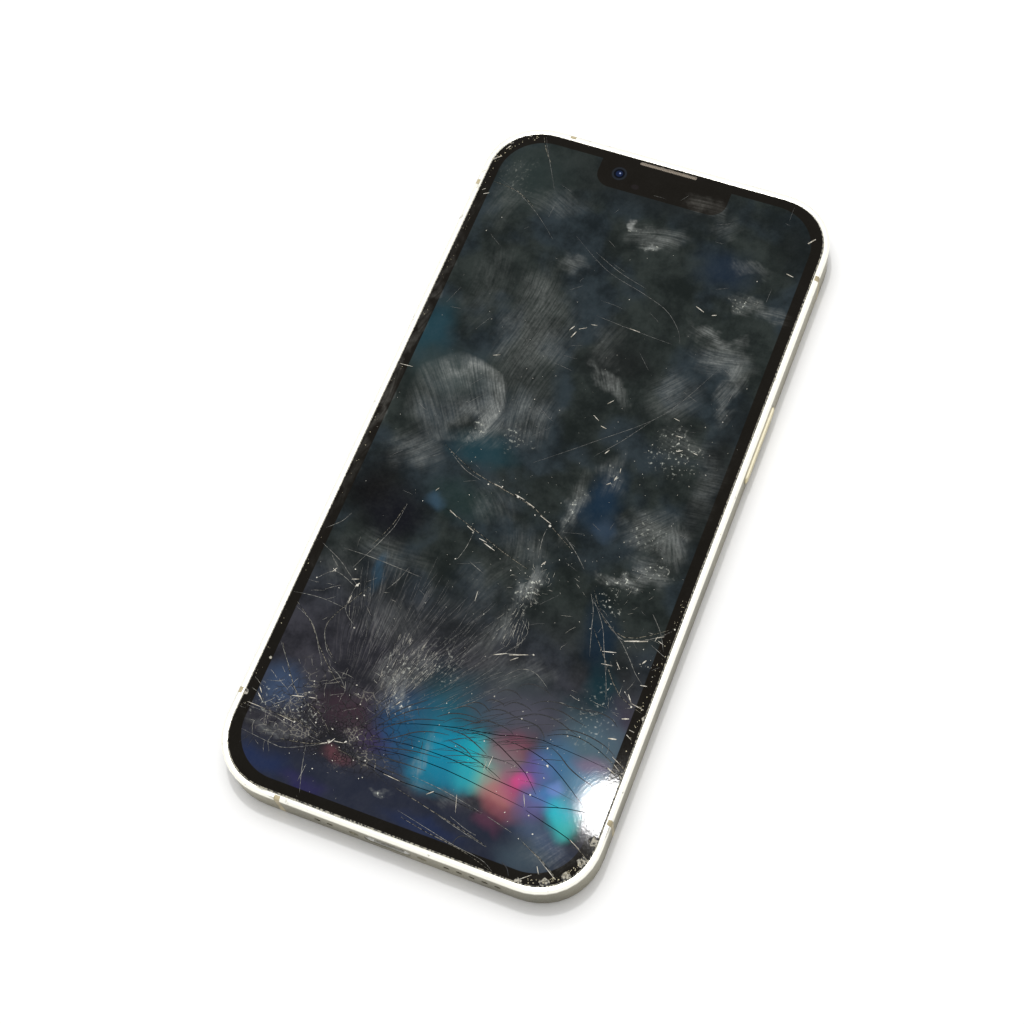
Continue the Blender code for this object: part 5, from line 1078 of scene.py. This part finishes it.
CRUSHED_SIDE = 34.0
CRUSHED_CORNER = 10.0
crumbs = []
for _ in range(70):
    angle = math.radians(chance.uniform(-80, -10))
    reach = CRUSHED_CORNER + chance.uniform(-0.5, 0.2)
    x = CORNER[0] + reach * math.cos(angle)
    crumbs.append((x, reach * math.sin(angle) - CORNER[1], chance.uniform(0.04, 0.13)))
for _ in range(60):
    x = CRUSHED_SIDE + chance.uniform(-0.8, 0.1)
    crumbs.append((x, chance.uniform(-61, -14), chance.uniform(0.04, 0.12)))
for _ in range(60):
    x = -CRUSHED_SIDE + chance.uniform(-0.1, 0.7)
    crumbs.append((x, chance.uniform(-62, 64), chance.uniform(0.04, 0.1)))
for _ in range(26):
    angle = math.radians(chance.uniform(110, 175))
    reach = CRUSHED_CORNER + chance.uniform(-0.8, 0.1)
    x = reach * math.cos(angle) - CORNER[0]
    crumbs.append((x, reach * math.sin(angle) + CORNER[1], chance.uniform(0.05, 0.14)))
grains("edge_crumbs", crumbs, crushed("edge_glass_crumb", "D6CBA8", "6F6751", 0.4))


# Photographer's table: a pale floor that keeps the soft shadow, plain light from above, and the camera
# where the photo was taken.  A small bright lamp stands where the sun's glint in the glass shows it.

CAMERA_PLACE = (0.07681, -0.13281, 0.32794)
CAMERA_TURN = (24.2489, 4.8896, 21.6334)
CAMERA_LENS = 67.19
SENSOR = 36.0
FLOOR_SIZE = 3.0
FLOOR_DROP = 0.02 * MM
SKY_LEVEL = 0.46
KEY_PLACE = (-0.16, 0.28, 1.2)
KEY_SIZE = 0.9
KEY_POWER = 8.4
GLINT_ON_GLASS = Vector((34.4 * MM, -54.9 * MM, GLASS_TOP))
GLINT_DISTANCE = 0.6
GLINT_SIZE = 0.0275
GLINT_POWER = 0.7

camera_data = bpy.data.cameras.new("camera")
camera_data.lens = CAMERA_LENS
camera_data.sensor_width = SENSOR
camera_data.clip_start = 0.01
camera_data.clip_end = 10.0
camera = bpy.data.objects.new("camera", camera_data)
camera.location = CAMERA_PLACE
camera.rotation_euler = [math.radians(angle) for angle in CAMERA_TURN]
bpy.context.scene.collection.objects.link(camera)
bpy.context.scene.camera = camera


def shown_to_the_eye(tree):
    """A number that is 1 for rays from the camera, in a mirror or through glass, and 0 for others."""
    rays = add(tree, "LightPath", {})
    mirrored = add(tree, "Math", {0: rays["Is Camera Ray"], 1: rays["Is Glossy Ray"]}, operation="MAXIMUM")[0]
    return add(tree, "Math", {0: mirrored, 1: rays["Is Transmission Ray"]}, operation="MAXIMUM")[0]


surface, tree, shader, place = start_finish("white_paper_floor")
paper = {0: shown_to_the_eye(tree), 6: linear("DDDDDB"), 7: linear("FFFFFF")}
tree.links.new(add(tree, "Mix", paper, data_type="RGBA")[2], shader.inputs["Base Color"])
shader.inputs["Roughness"].default_value = 1.0
shader.inputs["Specular IOR Level"].default_value = 0.0
shape = bmesh.new()
bmesh.ops.create_grid(shape, x_segments=1, y_segments=1, size=FLOOR_SIZE / 2)
bmesh.ops.translate(shape, vec=(0, 0, -FLOOR_DROP), verts=shape.verts)
put_in_scene("floor", shape, surface)

world = bpy.data.worlds.new("studio")
world.use_nodes = True
bpy.context.scene.world = world
tree = world.node_tree
sky = tree.nodes["Background"]
sky.inputs["Color"].default_value = (1.0, 1.0, 1.0, 1.0)
level = add(tree, "MapRange", {0: shown_to_the_eye(tree), 3: SKY_LEVEL, 4: 1.0})[0]
tree.links.new(level, sky.inputs["Strength"])


def lamp(name, place, target, size, power, shape, in_gloss):
    """An area lamp that faces a point."""
    light = bpy.data.lights.new(name, "AREA")
    light.shape = shape
    light.size = size
    light.energy = power
    item = bpy.data.objects.new(name, light)
    item.location = place
    item.rotation_euler = (Vector(target) - Vector(place)).to_track_quat("-Z", "Y").to_euler()
    item.visible_glossy = in_gloss
    bpy.context.scene.collection.objects.link(item)


lamp("key", KEY_PLACE, (0, 0, 0), KEY_SIZE, KEY_POWER, "SQUARE", False)
from_camera = (GLINT_ON_GLASS - Vector(CAMERA_PLACE)).normalized()
mirrored = Vector((from_camera.x, from_camera.y, -from_camera.z))
glint_place = GLINT_ON_GLASS + mirrored * GLINT_DISTANCE
lamp("sun_glint", glint_place, GLINT_ON_GLASS, GLINT_SIZE, GLINT_POWER, "DISK", True)

bpy.context.scene.view_settings.view_transform = "Standard"
